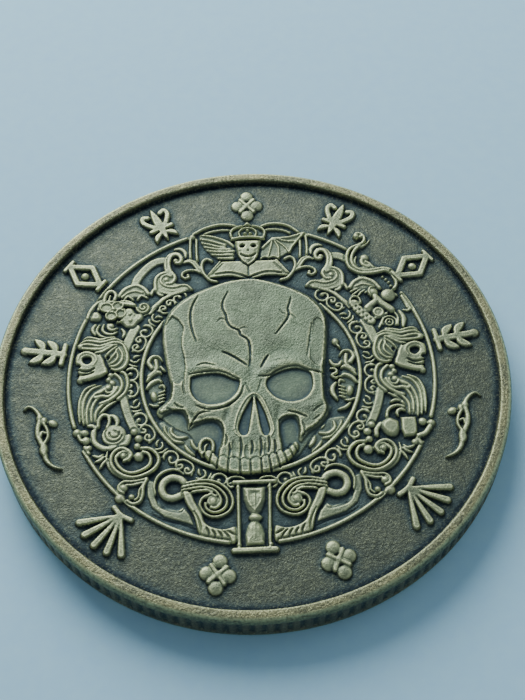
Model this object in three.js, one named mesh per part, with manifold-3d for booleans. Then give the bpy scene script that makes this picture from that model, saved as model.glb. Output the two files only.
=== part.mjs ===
// A struck challenge coin, 40 mm across and 3 mm thick.
// Units are millimetres. The coin lies on its reverse: z = 0 is the reverse rim's plane, with the origin at
// its centre. +Z points out of the obverse and +Y is the top of the obverse design.
//
// The real coin is one piece of metal. Here each feature that the die cuts is its own solid on the blank.

import * as THREE from 'three';
import { mergeVertices } from 'three/addons/utils/BufferGeometryUtils.js';
import Module from 'manifold-3d';

const wasm = await Module();
wasm.setup();

// ---- driving dimensions ----

const COIN_RADIUS = 20;
const COIN_THICKNESS = 3;
const FIELD_DEPTH = 0.5;              // each field lies this far below its rim
const RIM_INNER_RADIUS = 19.1;
const SHOULDER_HEIGHT = 0.85;         // plain metal above and below the reeding
const REED_COUNT = 140;
const REED_DEPTH = 0.28;
const CORE_GAP = 0.15;                // clearance between the blank's core and the rim rings
const OUTER_LINE_RADIUS = 14.14;
const INNER_LINE_RADIUS = 8.46;
const LINE_WIDTH = 0.38;
const VINE_RADIUS = 9.28;
const LEGEND_RADIUS = 16.55;
const CUT_GAP = 0.15;                 // an ornament that meets its neighbour stops this far from it
const STEP = 0.8;                     // spacing of the points along a curved ridge

const FIELD = COIN_THICKNESS - FIELD_DEPTH;
const REVERSE_FIELD = FIELD_DEPTH;

const LOW = 0.2;                      // heights of the relief above the field
const MIDDLE = 0.3;
const HIGH = 0.4;
const SKULL_HEIGHT = 0.46;

// ---- materials ----

function bronze(color, roughness) {
  return new THREE.MeshStandardMaterial({ color, roughness, metalness: 0.85 });
}

const fieldBronze = bronze(0x5f6048, 0.62);
const rimBronze = bronze(0x9a9a74, 0.38);
const reliefBronze = bronze(0x8e8f6c, 0.45);
const skullBronze = bronze(0x85866a, 0.5);

// ---- solids ----

function toSolid(geometry) {
  geometry.deleteAttribute('normal');
  geometry.deleteAttribute('uv');
  const welded = mergeVertices(geometry, 1e-4);
  const mesh = new wasm.Mesh({
    numProp: 3,
    vertProperties: new Float32Array(welded.attributes.position.array),
    triVerts: new Uint32Array(welded.index.array),
  });
  mesh.merge();
  return new wasm.Manifold(mesh);
}

function toMesh(name, solid, material) {
  const { vertProperties, triVerts } = solid.getMesh();
  const geometry = new THREE.BufferGeometry();
  geometry.setAttribute('position', new THREE.BufferAttribute(vertProperties, 3));
  geometry.setIndex(new THREE.BufferAttribute(triVerts, 1));
  geometry.computeVertexNormals();
  const mesh = new THREE.Mesh(geometry, material);
  mesh.name = name;
  return mesh;
}

function unite(solids) {
  return solids.reduce((whole, solid) => whole.add(solid));
}

function largestPiece(solid) {
  const pieces = solid.decompose();
  return pieces.reduce((best, piece) => (piece.volume() > best.volume() ? piece : best));
}

function extrudeOutline(points, holes, bottom, height) {
  const shape = new THREE.Shape(points);
  shape.holes = holes.map((hole) => new THREE.Path(hole));
  const geometry = new THREE.ExtrudeGeometry(shape, { depth: height, bevelEnabled: false });
  geometry.translate(0, 0, bottom);
  return toSolid(geometry);
}

function lathe(profile, segments) {
  const points = profile.map(([r, z]) => new THREE.Vector2(r, z));
  const geometry = new THREE.LatheGeometry(points, segments);
  geometry.rotateX(Math.PI / 2);
  return toSolid(geometry);
}

// ---- outlines on the field ----
// Every outline function takes `grow`, the extra width all round that a cutter needs.

function samplePath(points, closed) {
  const knots = points.map(([x, y]) => new THREE.Vector3(x, y, 0));
  const curve = new THREE.CatmullRomCurve3(knots, closed, 'centripetal');
  const count = Math.max(points.length > 2 ? 4 : 1, Math.round(curve.getLength() / STEP));
  const samples = [];
  const last = closed ? count - 1 : count;
  for (let i = 0; i <= last; i += 1) {
    const point = curve.getPointAt(i / count);
    const tangent = curve.getTangentAt(i / count);
    samples.push({ point, normal: new THREE.Vector2(-tangent.y, tangent.x), tangent });
  }
  return samples;
}

function offsetSide(samples, distance) {
  return samples.map(({ point, normal }) =>
    new THREE.Vector2(point.x + normal.x * distance, point.y + normal.y * distance));
}

function capPoint(sample, sign, half) {
  return new THREE.Vector2(
    sample.point.x + sample.tangent.x * sign * half,
    sample.point.y + sample.tangent.y * sign * half,
  );
}

// A bar of even width along a smooth curve, with blunt pointed ends.
function ridge(points, width, height) {
  return {
    points,
    height,
    outline(grow) {
      const samples = samplePath(this.points, false);
      const half = width / 2 + grow;
      const left = offsetSide(samples, half);
      const right = offsetSide(samples, -half);
      const start = capPoint(samples[0], -1, half);
      const end = capPoint(samples[samples.length - 1], 1, half);
      return { points: [start, ...right, end, ...left.reverse()], holes: [] };
    },
  };
}

// The same bar on a closed curve.
function loop(points, width, height) {
  return {
    points,
    height,
    outline(grow) {
      const samples = samplePath(this.points, true);
      const half = width / 2 + grow;
      const sides = [offsetSide(samples, half), offsetSide(samples, -half)];
      sides.sort((a, b) => Math.abs(THREE.ShapeUtils.area(b)) - Math.abs(THREE.ShapeUtils.area(a)));
      return { points: sides[0], holes: [sides[1]] };
    },
  };
}

// A flat plate with straight sides between its points.
function plate(points, height) {
  return {
    points,
    height,
    outline(grow) {
      const corners = this.points.map(([x, y]) => new THREE.Vector2(x, y));
      if (THREE.ShapeUtils.area(corners) < 0) corners.reverse();
      return { points: growPolygon(corners, grow), holes: [] };
    },
  };
}

function growPolygon(corners, grow) {
  return corners.map((corner, i) => {
    const before = corners[(i + corners.length - 1) % corners.length];
    const after = corners[(i + 1) % corners.length];
    const along = after.clone().sub(before).normalize();
    return new THREE.Vector2(corner.x + along.y * grow, corner.y - along.x * grow);
  });
}

function oval(x, y, rx, ry, height, sides = 12) {
  return {
    points: [[x, y]],
    height,
    outline(grow) {
      const [[cx, cy]] = this.points;
      const points = [];
      for (let i = 0; i < sides; i += 1) {
        const angle = (i / sides) * Math.PI * 2;
        const reach = [(rx + grow) * Math.cos(angle), (ry + grow) * Math.sin(angle)];
        points.push(new THREE.Vector2(cx + reach[0], cy + reach[1]));
      }
      return { points, holes: [] };
    },
  };
}

function bead(x, y, radius, height, sides = 10) {
  return oval(x, y, radius, radius, height, sides);
}

function arcPoints(cx, cy, radius, startDegrees, endDegrees, stepDegrees) {
  const count = Math.max(2, Math.ceil(Math.abs(endDegrees - startDegrees) / stepDegrees));
  const points = [];
  for (let i = 0; i <= count; i += 1) {
    const angle = THREE.MathUtils.degToRad(startDegrees + ((endDegrees - startDegrees) * i) / count);
    points.push([cx + radius * Math.cos(angle), cy + radius * Math.sin(angle)]);
  }
  return points;
}

function mirrored(shapes) {
  return shapes.map((shape) => ({ ...shape, points: shape.points.map(([x, y]) => [-x, y]) }));
}

// Turns shapes drawn upright at the origin so that they stand on the legend circle.
function onCircle(shapes, degrees, radius) {
  const turn = THREE.MathUtils.degToRad(degrees - 90);
  const centre = [radius * Math.cos(turn + Math.PI / 2), radius * Math.sin(turn + Math.PI / 2)];
  return shapes.map((shape) => ({
    ...shape,
    points: shape.points.map(([x, y]) => [
      centre[0] + x * Math.cos(turn) - y * Math.sin(turn),
      centre[1] + x * Math.sin(turn) + y * Math.cos(turn),
    ]),
  }));
}

function shapeSolid(shape, grow, bottom, height) {
  const { points, holes } = shape.outline(grow);
  return extrudeOutline(points, holes, bottom, height);
}

// ---- the coin's own metal ----

function reedOutline() {
  const points = [];
  for (let i = 0; i < REED_COUNT; i += 1) {
    const pitch = (Math.PI * 2) / REED_COUNT;
    const corners = [
      [COIN_RADIUS, 0],
      [COIN_RADIUS, 0.48],
      [COIN_RADIUS - REED_DEPTH, 0.5],
      [COIN_RADIUS - REED_DEPTH, 0.98],
    ];
    for (const [radius, part] of corners) {
      const angle = (i + part) * pitch;
      points.push(new THREE.Vector2(radius * Math.cos(angle), radius * Math.sin(angle)));
    }
  }
  return points;
}

function coinBlank() {
  const reeded = extrudeOutline(reedOutline(), [], SHOULDER_HEIGHT, COIN_THICKNESS - 2 * SHOULDER_HEIGHT);
  const coreRadius = RIM_INNER_RADIUS - CORE_GAP;
  const core = lathe([
    [0, REVERSE_FIELD],
    [coreRadius, REVERSE_FIELD],
    [coreRadius, FIELD],
    [0, FIELD],
  ], 72);
  return reeded.add(core);
}

// Half of the coin's rounded edge, written as distances out from the axis and down from the rim's flat top.
const RIM_PROFILE = [
  [RIM_INNER_RADIUS, SHOULDER_HEIGHT],
  [COIN_RADIUS, SHOULDER_HEIGHT],
  [COIN_RADIUS, 0.38],
  [COIN_RADIUS - 0.1, 0.14],
  [COIN_RADIUS - 0.32, 0],
  [RIM_INNER_RADIUS + 0.16, 0],
  [RIM_INNER_RADIUS, 0.16],
];

function rimRing(isObverse) {
  const profile = RIM_PROFILE.map(([r, down]) => [r, isObverse ? COIN_THICKNESS - down : down]);
  const ordered = isObverse ? profile : profile.slice().reverse();
  return lathe([...ordered, ordered[0]], 72);
}

// ---- the skull in the centre ----

const skull = [
  plate([
    [0, 9.3], [-2.9, 8.7], [-4.3, 8.1], [-5.4, 7.4], [-6.2, 6.6], [-6.8, 5.4], [-6.9, 4.2], [-6.75, 2],
    [-6.4, 0], [-6.15, -0.5], [-6.3, -2.2], [-7.0, -2.9], [-7.0, -3.6], [-6.4, -3.7], [-5.4, -3.2],
    [-4.8, -4.2], [-4.2, -5], [-2.6, -5.2], [0, -5.3], [2.6, -5.2], [4.9, -4.6], [5.6, -3.8],
    [5.7, -3.2], [5.5, -2], [5.75, 0], [6.1, 2], [6.3, 4], [6.1, 5.2], [5.6, 6.3], [4.8, 7.3],
    [3.8, 7.9], [2.5, 8.6],
  ], SKULL_HEIGHT),
];
const skullHollows = [
  oval(-2.85, -1.25, 1.8, 1.2, 0, 16),
  oval(3, -1.2, 1.85, 1.4, 0, 16),
  plate([[0.2, -2.1], [-0.4, -3.1], [-0.85, -4.3], [-0.7, -5.1], [0.2, -4.8], [1.1, -5.1], [1.15, -4.3],
    [0.8, -3.1]], 0),
];
const HOLLOW_DEPTH = 0.34;

function toothRow() {
  const width = 0.78;
  const shapes = [plate([[-3.3, -5.5], [3.3, -5.5], [3.2, -6.9], [1.9, -7.7], [-1.9, -7.7],
    [-3.2, -6.9]], LOW)];
  for (let i = -3; i <= 3; i += 1) {
    const x = i * (width + 0.06);
    shapes.push(oval(x, -7.75 + 0.045 * i * i, width / 2 + 0.04, 0.62, MIDDLE, 8));
  }
  return shapes;
}

// ---- the cartouche above the skull ----

const crownedSkull = [
  plate([
    [-1.15, 13.1], [-1.05, 12.2], [-0.95, 11.6], [-0.4, 10.7], [0, 10.4], [0.4, 10.7], [0.95, 11.7],
    [1.05, 12.3], [1.15, 13.1],
  ], HIGH),
  ridge([[-1.25, 13.1], [0, 13.3], [1.2, 13.1]], 0.34, HIGH),
  loop(arcPoints(0, 13.75, 0.52, 0, 315, 45), 0.26, MIDDLE),
  ridge([[-1.25, 13.2], [-1.4, 13.7], [-1.1, 14.15], [-0.4, 14.4]], 0.3, MIDDLE),
  ridge([[1.2, 13.2], [1.35, 13.7], [1.1, 14.15], [0.4, 14.4]], 0.3, MIDDLE),
  plate([[-0.6, 14.3], [0.55, 14.3], [0, 15.1]], MIDDLE),
];

const featheredWing = [
  plate([
    [-4, 13.5], [-3.3, 13.6], [-2, 13.1], [-1.2, 12.5], [-1.2, 11.2], [-1.8, 11.05], [-2.6, 11.2],
    [-3.4, 12], [-3.85, 12.8],
  ], LOW),
  ridge([[-3.8, 13.4], [-2.6, 13.2], [-1.4, 12.4]], 0.4, MIDDLE),
  ridge([[-3.4, 12.4], [-2.4, 12.2], [-1.4, 12]], 0.35, MIDDLE),
];

const batWing = [
  plate([
    [1.35, 12.2], [2.1, 13], [3.5, 13.1], [4.6, 13.5], [4.8, 13.3], [4, 12.6], [3.6, 12.1],
    [3.4, 11.6], [2.6, 11.1], [1.3, 11.05],
  ], LOW),
  ridge([[1.5, 12.4], [2.1, 13.05], [3.4, 13.15], [4.5, 13.45]], 0.28, MIDDLE),
];

const openBook = [
  plate([[-3.3, 9.35], [-2.1, 10.75], [2.2, 10.75], [3.3, 9.35]], LOW),
  ridge([[-2.6, 9.8], [-1.4, 9.95], [0, 9.5]], 0.2, MIDDLE),
  ridge([[2.7, 9.8], [1.4, 10], [0, 9.5]], 0.2, MIDDLE),
];

const frameLeft = [
  ridge([[-4.75, 11], [-4.75, 13.3], [-4.3, 13.85], [-3.3, 14.35], [-2.3, 14.62], [-1.5, 14.6]],
    0.34, MIDDLE),
];

const tendrilLeft = [
  ridge([[-5.1, 9.4], [-5.35, 9.8], [-4.8, 10.1], [-4.2, 9.85], [-3.7, 9.3]], 0.4, MIDDLE),
  ridge([[-5.2, 10.8], [-4.6, 10.75], [-4.1, 10.3], [-3.7, 9.5]], 0.42, MIDDLE),
  ridge([[-3.05, 11.05], [-3.6, 11.05], [-3.8, 10.4], [-3.65, 9.7]], 0.24, LOW),
];

// ---- scrolls of the upper half ----

const upperScrollLeft = [
  bead(-6, 11.45, 0.85, MIDDLE, 12),
  ridge([[-6.6, 11.2], [-6.65, 10.5], [-6.5, 9.9]], 0.5, MIDDLE),
  bead(-6.8, 9.2, 0.82, MIDDLE, 12),
  ridge([[-7.3, 8.7], [-6.7, 8.25], [-6, 8.2], [-5.3, 8.45], [-4.8, 8.3]], 0.45, LOW),
];
const flower = [
  bead(-10.85, 6.4, 0.5, HIGH, 10),
  bead(-11.45, 6.7, 0.52, MIDDLE, 8),
  bead(-10.6, 7, 0.45, MIDDLE, 8),
  bead(-10.25, 6.1, 0.5, MIDDLE, 8),
  bead(-11, 5.8, 0.5, MIDDLE, 8),
  oval(-9.7, 6.85, 0.6, 0.32, LOW, 8),
  bead(-9.4, 5.6, 0.75, MIDDLE, 10),
];
const knot = [
  ridge([[9.8, 7.7], [9.8, 7.1], [10.2, 6.5], [10.8, 6], [11.1, 5.6]], 0.6, MIDDLE),
  bead(11, 7, 0.5, MIDDLE, 10),
  ridge([[10.9, 6.9], [10.3, 6.5], [9.6, 6.1], [9.3, 5.9]], 0.45, MIDDLE),
  ridge([[9.3, 6], [9.1, 5.5], [9.5, 4.9]], 0.55, LOW),
];
const acanthus = [
  ridge([
    [8.8, 13], [9.2, 13.25], [9.6, 12.9], [9.4, 12.3], [8.7, 11.9], [8.2, 11.3], [8.1, 10.5],
    [8.4, 9.8], [9.2, 9.4], [10.2, 9.35], [11, 9.55], [11.6, 9.3], [11.85, 8.6],
  ], 0.5, MIDDLE),
  ridge([[9.5, 10.7], [9.4, 10.2], [9.7, 9.7]], 0.6, LOW),
];

// ---- the two grotesque masks in profile ----

const maskLeft = [
  plate([[-13.5, 2.8], [-11.2, 2.6], [-11.2, 0.6], [-12.6, -0.1], [-13.4, -0.25], [-13.4, 0.6]], LOW),
  ridge([[-13.3, 3.2], [-12.4, 3.4], [-11.4, 3.1], [-10.4, 3.2], [-9.9, 2.6], [-9.9, 1.8], [-10.5, 1.2]],
    0.6, MIDDLE),
  ridge([[-11.4, 0.8], [-11.1, 1.6], [-10.8, 2.4], [-10.4, 3]], 0.6, LOW),
  ridge([[-13.4, 0], [-12.5, 0.2], [-11.2, 0.6]], 0.4, MIDDLE),
];
const maskHollowsLeft = [bead(-12.9, 1.7, 0.34, 0, 8)];
const beardLeft = [
  ridge([[-10.2, 0.1], [-9.85, -0.7], [-10.3, -1.6], [-11.2, -2], [-11.7, -2.8], [-11.8, -3.6]],
    0.42, MIDDLE),
  ridge([[-10.9, -1], [-11.6, -1.3], [-12.3, -2], [-12.6, -2.9], [-12.55, -3.7]], 0.5, LOW),
  ridge([[-10.6, -0.2], [-10.9, -1], [-11, -2]], 0.5, LOW),
];

// ---- ornaments of the lower half ----

const rosebud = [
  bead(-10.5, -5, 0.9, MIDDLE, 14),
  ridge([[-11.85, -4.6], [-11.6, -5.4], [-10.9, -5.8]], 0.4, LOW),
  ridge([[-11.3, -4.7], [-11.5, -3.8], [-11.1, -3.3], [-10.5, -3.7]], 0.42, LOW),
];
const squareBlock = [
  bead(10.45, -4.9, 0.85, MIDDLE, 8),
  plate([[11.2, -4.2], [12.35, -4.2], [12.35, -5.75], [11.2, -5.75]], MIDDLE),
  ridge([[10.4, -4.2], [10.5, -3.5], [11.1, -3.2]], 0.4, LOW),
];
const ribbonLeft = [
  ridge([[-13.3, -4.7], [-12.75, -4.9], [-12.6, -5.5], [-12.3, -6.1]], 0.6, MIDDLE),
];
const cScrollLeft = [
  ridge([
    [-8.2, -6.3], [-7.5, -6.6], [-7.3, -7.3], [-7.9, -8.05], [-8.8, -8.35], [-9.7, -8.1],
    [-10.4, -7.3], [-10.4, -6.6], [-9.9, -6.2], [-9.4, -6.4],
  ], 0.5, MIDDLE),
  bead(-9.65, -6.75, 0.42, MIDDLE, 10),
];
const voluteLeft = [
  ridge([[-8.15, -8.9], [-9, -8.95], [-9.7, -9.1], [-9.6, -9.5]], 0.34, LOW),
  ridge([[-8.1, -8.9], [-8.3, -9.8], [-8.5, -10.4], [-9, -10.2]], 0.36, LOW),
];
const bigSpiralLeft = [
  ridge([
    [-5.4, -8.9], [-6.2, -8.65], [-6.75, -9.3], [-6.5, -10.1], [-5.8, -10.3], [-5.3, -9.8],
    [-4.8, -9.35], [-3.9, -9.2], [-3, -9.25], [-2.2, -9.8], [-1.85, -10.6], [-2.1, -11.35],
    [-2.8, -11.7], [-3.5, -11.4], [-3.85, -10.8],
  ], 0.5, MIDDLE),
  bead(-3, -10.65, 0.55, MIDDLE, 10),
  ridge([[-3.85, -10.8], [-3, -10.6]], 0.3, LOW),
];
const footLeft = [
  ridge([[-4.9, -10.6], [-4.6, -11.3], [-4, -12.1], [-3.3, -12.6], [-2.5, -12.85], [-1.65, -12.8]],
    0.4, MIDDLE),
  ridge([[-3.6, -12.5], [-3.5, -13.2]], 0.34, LOW),
  ridge([[-2.9, -12.8], [-2.8, -13.3]], 0.34, LOW),
  ridge([[-2.2, -12.9], [-2, -13.4]], 0.34, LOW),
];
const hourglass = [
  plate([[-1.55, -9.05], [1.55, -9.05], [1.55, -9.4], [-1.55, -9.4]], HIGH),
  plate([[-1.5, -14.35], [1.45, -14.35], [1.45, -14.85], [-1.5, -14.85]], HIGH),
  plate([[-1.35, -9.3], [-1.05, -9.3], [-1.05, -14.4], [-1.35, -14.4]], MIDDLE),
  plate([[0.9, -9.3], [1.2, -9.3], [1.2, -14.4], [0.9, -14.4]], MIDDLE),
  plate([[-0.85, -9.3], [0.75, -9.3], [0.6, -10.8], [0.15, -11.8], [-0.25, -11.8], [-0.7, -10.8]], LOW),
  plate([[-0.3, -12.2], [0.2, -12.2], [0.6, -13.2], [0.65, -14.4], [-0.75, -14.4], [-0.7, -13.2]], LOW),
  oval(-0.05, -12.05, 0.58, 0.36, HIGH, 10),
];

// ---- foliage around the skull ----

const leafLowerLeft = [
  ridge([[-6.2, -4.3], [-6, -5], [-5.3, -5.4], [-4.6, -5.8], [-4.2, -6.5]], 0.5, LOW),
];
const leafLowerRight = [
  ridge([[6, -4.4], [5.9, -5], [5.2, -5.4], [4.5, -5.7], [4.3, -6.4]], 0.5, LOW),
];

// ---- marks of the legend: five plain ornaments in the places of the words ----

const LEGEND_MARKS = {
  sprig: [
    ridge([[0, -1.4], [0, 1.3]], 0.5, HIGH),
    ...[-1, 1].flatMap((side) => [-0.9, 0.1].map((y) =>
      ridge([[0, y], [side * 0.6, y + 0.2], [side * 1.1, y + 0.8]], 0.42, MIDDLE))),
  ],
  lozenge: [
    plate([[0, 1.65], [1.25, 0], [0, -1.65], [-1.25, 0]], LOW),
    bead(0, 0, 0.5, HIGH, 10),
  ],
  fleuron: [
    plate([[0, 1.65], [0.5, 0.9], [0.3, -0.3], [-0.3, -0.3], [-0.5, 0.9]], HIGH),
    ridge([[-1.35, 0.5], [-1.2, 1], [-0.7, 0.7], [-0.3, -0.2], [-0.5, -1.3]], 0.4, MIDDLE),
    ridge([[1.35, 0.5], [1.2, 1], [0.7, 0.7], [0.3, -0.2], [0.5, -1.3]], 0.4, MIDDLE),
    ridge([[-0.8, -0.35], [0.8, -0.35]], 0.36, HIGH),
  ],
  quatrefoil: [
    ...[45, 135, 225, 315].map((degrees) => {
      const angle = THREE.MathUtils.degToRad(degrees);
      return bead(0.85 * Math.cos(angle), 0.85 * Math.sin(angle), 0.66, MIDDLE, 10);
    }),
    bead(0, 0, 0.5, HIGH, 8),
  ],
  fan: [-52, -26, 0, 26, 52].map((degrees) => {
    const angle = THREE.MathUtils.degToRad(degrees + 90);
    return ridge([[0, -1.3], [2.6 * Math.cos(angle), 2.6 * Math.sin(angle) - 1.3]], 0.46, MIDDLE);
  }),
};

const LEGEND = [
  ['sprig', 171], ['lozenge', 143.6], ['fleuron', 116.4], ['quatrefoil', 90], ['fleuron', 63.4],
    ['lozenge', 36.3],
  ['sprig', 10.2], ['fan', -42], ['quatrefoil', -69.4], ['quatrefoil', -99.6], ['fan', -130],
];

const flourish = [
  ridge([[-0.3, 2.2], [0.4, 1.5], [-0.3, 0.6], [0.3, -0.3], [-0.3, -1.2], [0.2, -2.2]], 0.5, MIDDLE),
  bead(0, 0.1, 0.62, MIDDLE, 8),
];

// ---- lines and bands that follow the coin's circle ----

function ringLine(radius, startDegrees, endDegrees) {
  return [ridge(arcPoints(0, 0, radius, startDegrees, endDegrees, 10), LINE_WIDTH, MIDDLE)];
}

function vine(startDegrees, endDegrees) {
  const waves = Math.round(Math.abs(endDegrees - startDegrees) / 11);
  const points = [];
  for (let i = 0; i <= waves; i += 1) {
    const angle = THREE.MathUtils.degToRad(startDegrees + ((endDegrees - startDegrees) * i) / waves);
    const radius = VINE_RADIUS + (i % 2 === 0 ? 0.22 : -0.22);
    points.push([radius * Math.cos(angle), radius * Math.sin(angle)]);
  }
  return [ridge(points, 0.22, LOW)];
}

// ---- the obverse, from the topmost feature to the lowest ----
// A later feature is cut back wherever it would meet one listed before it.

const obverse = [
  ['skull', skull, skullBronze],
  ['tooth_row', toothRow(), skullBronze],
  ['hourglass', hourglass, reliefBronze],
  ['crowned_skull', crownedSkull, reliefBronze],
  ['acanthus', acanthus, reliefBronze],
  ['feathered_wing', featheredWing, reliefBronze],
  ['bat_wing', batWing, reliefBronze],
  ['open_book', openBook, reliefBronze],
  ['frame_left', frameLeft, reliefBronze],
  ['frame_right', mirrored(frameLeft), reliefBronze],
  ['tendril_left', tendrilLeft, reliefBronze],
  ['tendril_right', mirrored(tendrilLeft), reliefBronze],
  ['upper_scroll_left', upperScrollLeft, reliefBronze],
  ['upper_scroll_right', mirrored(upperScrollLeft), reliefBronze],
  ['mask_left', maskLeft, reliefBronze],
  ['mask_right', mirrored(maskLeft), reliefBronze],
  ['beard_left', beardLeft, reliefBronze],
  ['beard_right', mirrored(beardLeft), reliefBronze],
  ['flower', flower, reliefBronze],
  ['knot', knot, reliefBronze],
  ['rosebud', rosebud, reliefBronze],
  ['square_block', squareBlock, reliefBronze],
  ['ribbon_left', ribbonLeft, reliefBronze],
  ['ribbon_right', mirrored(ribbonLeft), reliefBronze],
  ['c_scroll_left', cScrollLeft, reliefBronze],
  ['c_scroll_right', mirrored(cScrollLeft), reliefBronze],
  ['volute_left', voluteLeft, reliefBronze],
  ['volute_right', mirrored(voluteLeft), reliefBronze],
  ['big_spiral_left', bigSpiralLeft, reliefBronze],
  ['big_spiral_right', mirrored(bigSpiralLeft), reliefBronze],
  ['foot_left', footLeft, reliefBronze],
  ['foot_right', mirrored(footLeft), reliefBronze],
  ['leaf_lower_left', leafLowerLeft, reliefBronze],
  ['leaf_lower_right', leafLowerRight, reliefBronze],
  ['outer_line_upper_left', ringLine(OUTER_LINE_RADIUS, 110, 197), reliefBronze],
  ['outer_line_lower_left', ringLine(OUTER_LINE_RADIUS, 209, 262), reliefBronze],
  ['outer_line_lower_right', ringLine(OUTER_LINE_RADIUS, -82, -29), reliefBronze],
  ['outer_line_right', ringLine(OUTER_LINE_RADIUS, -17, 28), reliefBronze],
  ['outer_line_top', ringLine(OUTER_LINE_RADIUS, 56, 68), reliefBronze],
  ['inner_line', ringLine(INNER_LINE_RADIUS, 146, 406), reliefBronze],
  ['scroll_vine_left', vine(138, 258), reliefBronze],
  ['scroll_vine_right', vine(282, 402), reliefBronze],
];

LEGEND.forEach(([kind, degrees], i) => {
  const name = `legend_mark_${String(i + 1).padStart(2, '0')}`;
  obverse.push([name, onCircle(LEGEND_MARKS[kind], degrees, LEGEND_RADIUS), reliefBronze]);
});
obverse.push(['flourish_left', onCircle(flourish, 197.5, LEGEND_RADIUS), reliefBronze]);
obverse.push(['flourish_right', onCircle(flourish, -17.5, LEGEND_RADIUS), reliefBronze]);

function hollowsOf(name) {
  if (name === 'skull') return skullHollows;
  if (name === 'mask_left') return maskHollowsLeft;
  if (name === 'mask_right') return mirrored(maskHollowsLeft);
  return [];
}

function boxesMeet(a, b) {
  return [0, 1].every((axis) => a.min[axis] < b.max[axis] && b.min[axis] < a.max[axis]);
}

function obverseMeshes() {
  const cutters = [];
  return obverse.map(([name, shapes, material]) => {
    let solid = unite(shapes.map((shape) => shapeSolid(shape, 0, FIELD, shape.height)));
    for (const hollow of hollowsOf(name)) {
      solid = solid.subtract(shapeSolid(hollow, 0, COIN_THICKNESS - HOLLOW_DEPTH, 1));
    }
    const box = solid.boundingBox();
    for (const cutter of cutters) {
      if (boxesMeet(box, cutter.boundingBox())) solid = solid.subtract(cutter);
    }
    cutters.push(unite(shapes.map((shape) => shapeSolid(shape, CUT_GAP, REVERSE_FIELD, COIN_THICKNESS))));
    return toMesh(name, largestPiece(solid), material);
  });
}

// ---- the reverse: a rosette inside a plain line ----

const REVERSE_LINE_RADIUS = 15;
const REVERSE_RELIEF = 0.3;

function reverseLine() {
  const half = 0.2;
  const low = REVERSE_FIELD - REVERSE_RELIEF;
  const corners = [
    [REVERSE_LINE_RADIUS - half, low],
    [REVERSE_LINE_RADIUS + half, low],
    [REVERSE_LINE_RADIUS + half, REVERSE_FIELD],
    [REVERSE_LINE_RADIUS - half, REVERSE_FIELD],
  ];
  return lathe([...corners, corners[0]], 48);
}

function rosette() {
  const petals = 8;
  const shapes = [bead(0, 0, 1.6, 0, 16)];
  for (let i = 0; i < petals; i += 1) {
    const petal = [ridge([[0, 1.2], [0, 3.2], [0, 4.4]], 1.7, 0)];
    shapes.push(...onCircle(petal, (360 / petals) * i, 0));
  }
  return unite(shapes.map((shape) => shapeSolid(shape, 0, REVERSE_FIELD - REVERSE_RELIEF, REVERSE_RELIEF)));
}

const coin = new THREE.Group();
coin.add(toMesh('coin_blank', coinBlank(), fieldBronze));
coin.add(toMesh('obverse_rim', rimRing(true), rimBronze));
coin.add(toMesh('reverse_rim', rimRing(false), rimBronze));
coin.add(toMesh('reverse_line', reverseLine(), reliefBronze));
coin.add(toMesh('reverse_rosette', rosette(), reliefBronze));
coin.add(...obverseMeshes());

export default coin;
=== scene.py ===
"""The looks of a 40 mm challenge coin in antique bronze.

The relief is a height map in millimetres, drawn with ridges, plates, beads and grooves as an engraver works a
die, and then cut into one surface piece for each CAD node. Blender's own units are metres.
"""
import math

import bpy
import numpy as np
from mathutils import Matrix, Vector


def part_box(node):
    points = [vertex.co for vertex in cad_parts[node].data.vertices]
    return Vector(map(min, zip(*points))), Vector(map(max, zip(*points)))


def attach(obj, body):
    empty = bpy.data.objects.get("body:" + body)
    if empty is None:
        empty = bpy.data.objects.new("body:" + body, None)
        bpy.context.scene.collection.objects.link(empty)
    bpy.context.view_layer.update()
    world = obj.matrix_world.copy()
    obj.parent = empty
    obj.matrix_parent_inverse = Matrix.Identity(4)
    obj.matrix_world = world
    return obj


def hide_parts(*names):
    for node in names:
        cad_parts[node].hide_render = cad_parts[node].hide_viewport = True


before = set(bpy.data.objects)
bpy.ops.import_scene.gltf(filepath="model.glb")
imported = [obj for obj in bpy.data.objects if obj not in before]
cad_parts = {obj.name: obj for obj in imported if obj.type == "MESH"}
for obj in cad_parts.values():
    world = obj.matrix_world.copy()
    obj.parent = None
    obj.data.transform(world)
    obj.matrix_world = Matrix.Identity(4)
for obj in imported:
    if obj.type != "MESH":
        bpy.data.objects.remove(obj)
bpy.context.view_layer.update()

# ---- sizes, in millimetres ----

MM = 0.001
RIM_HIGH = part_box("obverse_rim")[1]
COIN_RADIUS = RIM_HIGH.x / MM
THICKNESS = RIM_HIGH.z / MM
FIELD_DEPTH = 0.5
FIELD = THICKNESS - FIELD_DEPTH
RIM_INNER = 19.12
RIM_FOOT = 18.98              # where the rim's sloped inner wall meets the field
OUTER_LINE = 14.14
INNER_LINE = 8.46
LEGEND_RADIUS = 16.55
VINE_RADIUS = 9.28
CUT_LINE = 0.09               # the sunk line cut round a shape that stands over another
PITCH = 0.06                  # grid of the obverse height map
REVERSE_PITCH = 0.12
GRID_REACH = 19.3             # half the width of the obverse grid; it ends under the rim
REVERSE_GRID_REACH = 19.32
REEDS = 140
REED_DEPTH = 0.13
REED_HALF_WIDTH = 0.27        # as a share of the reeds' spacing
REED_RUNOUT = 0.16            # height over which a reed fades out at each end
EDGE_INSET = 0.01             # keeps the edge just inside the CAD's radius


# ---- curves ----

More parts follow.
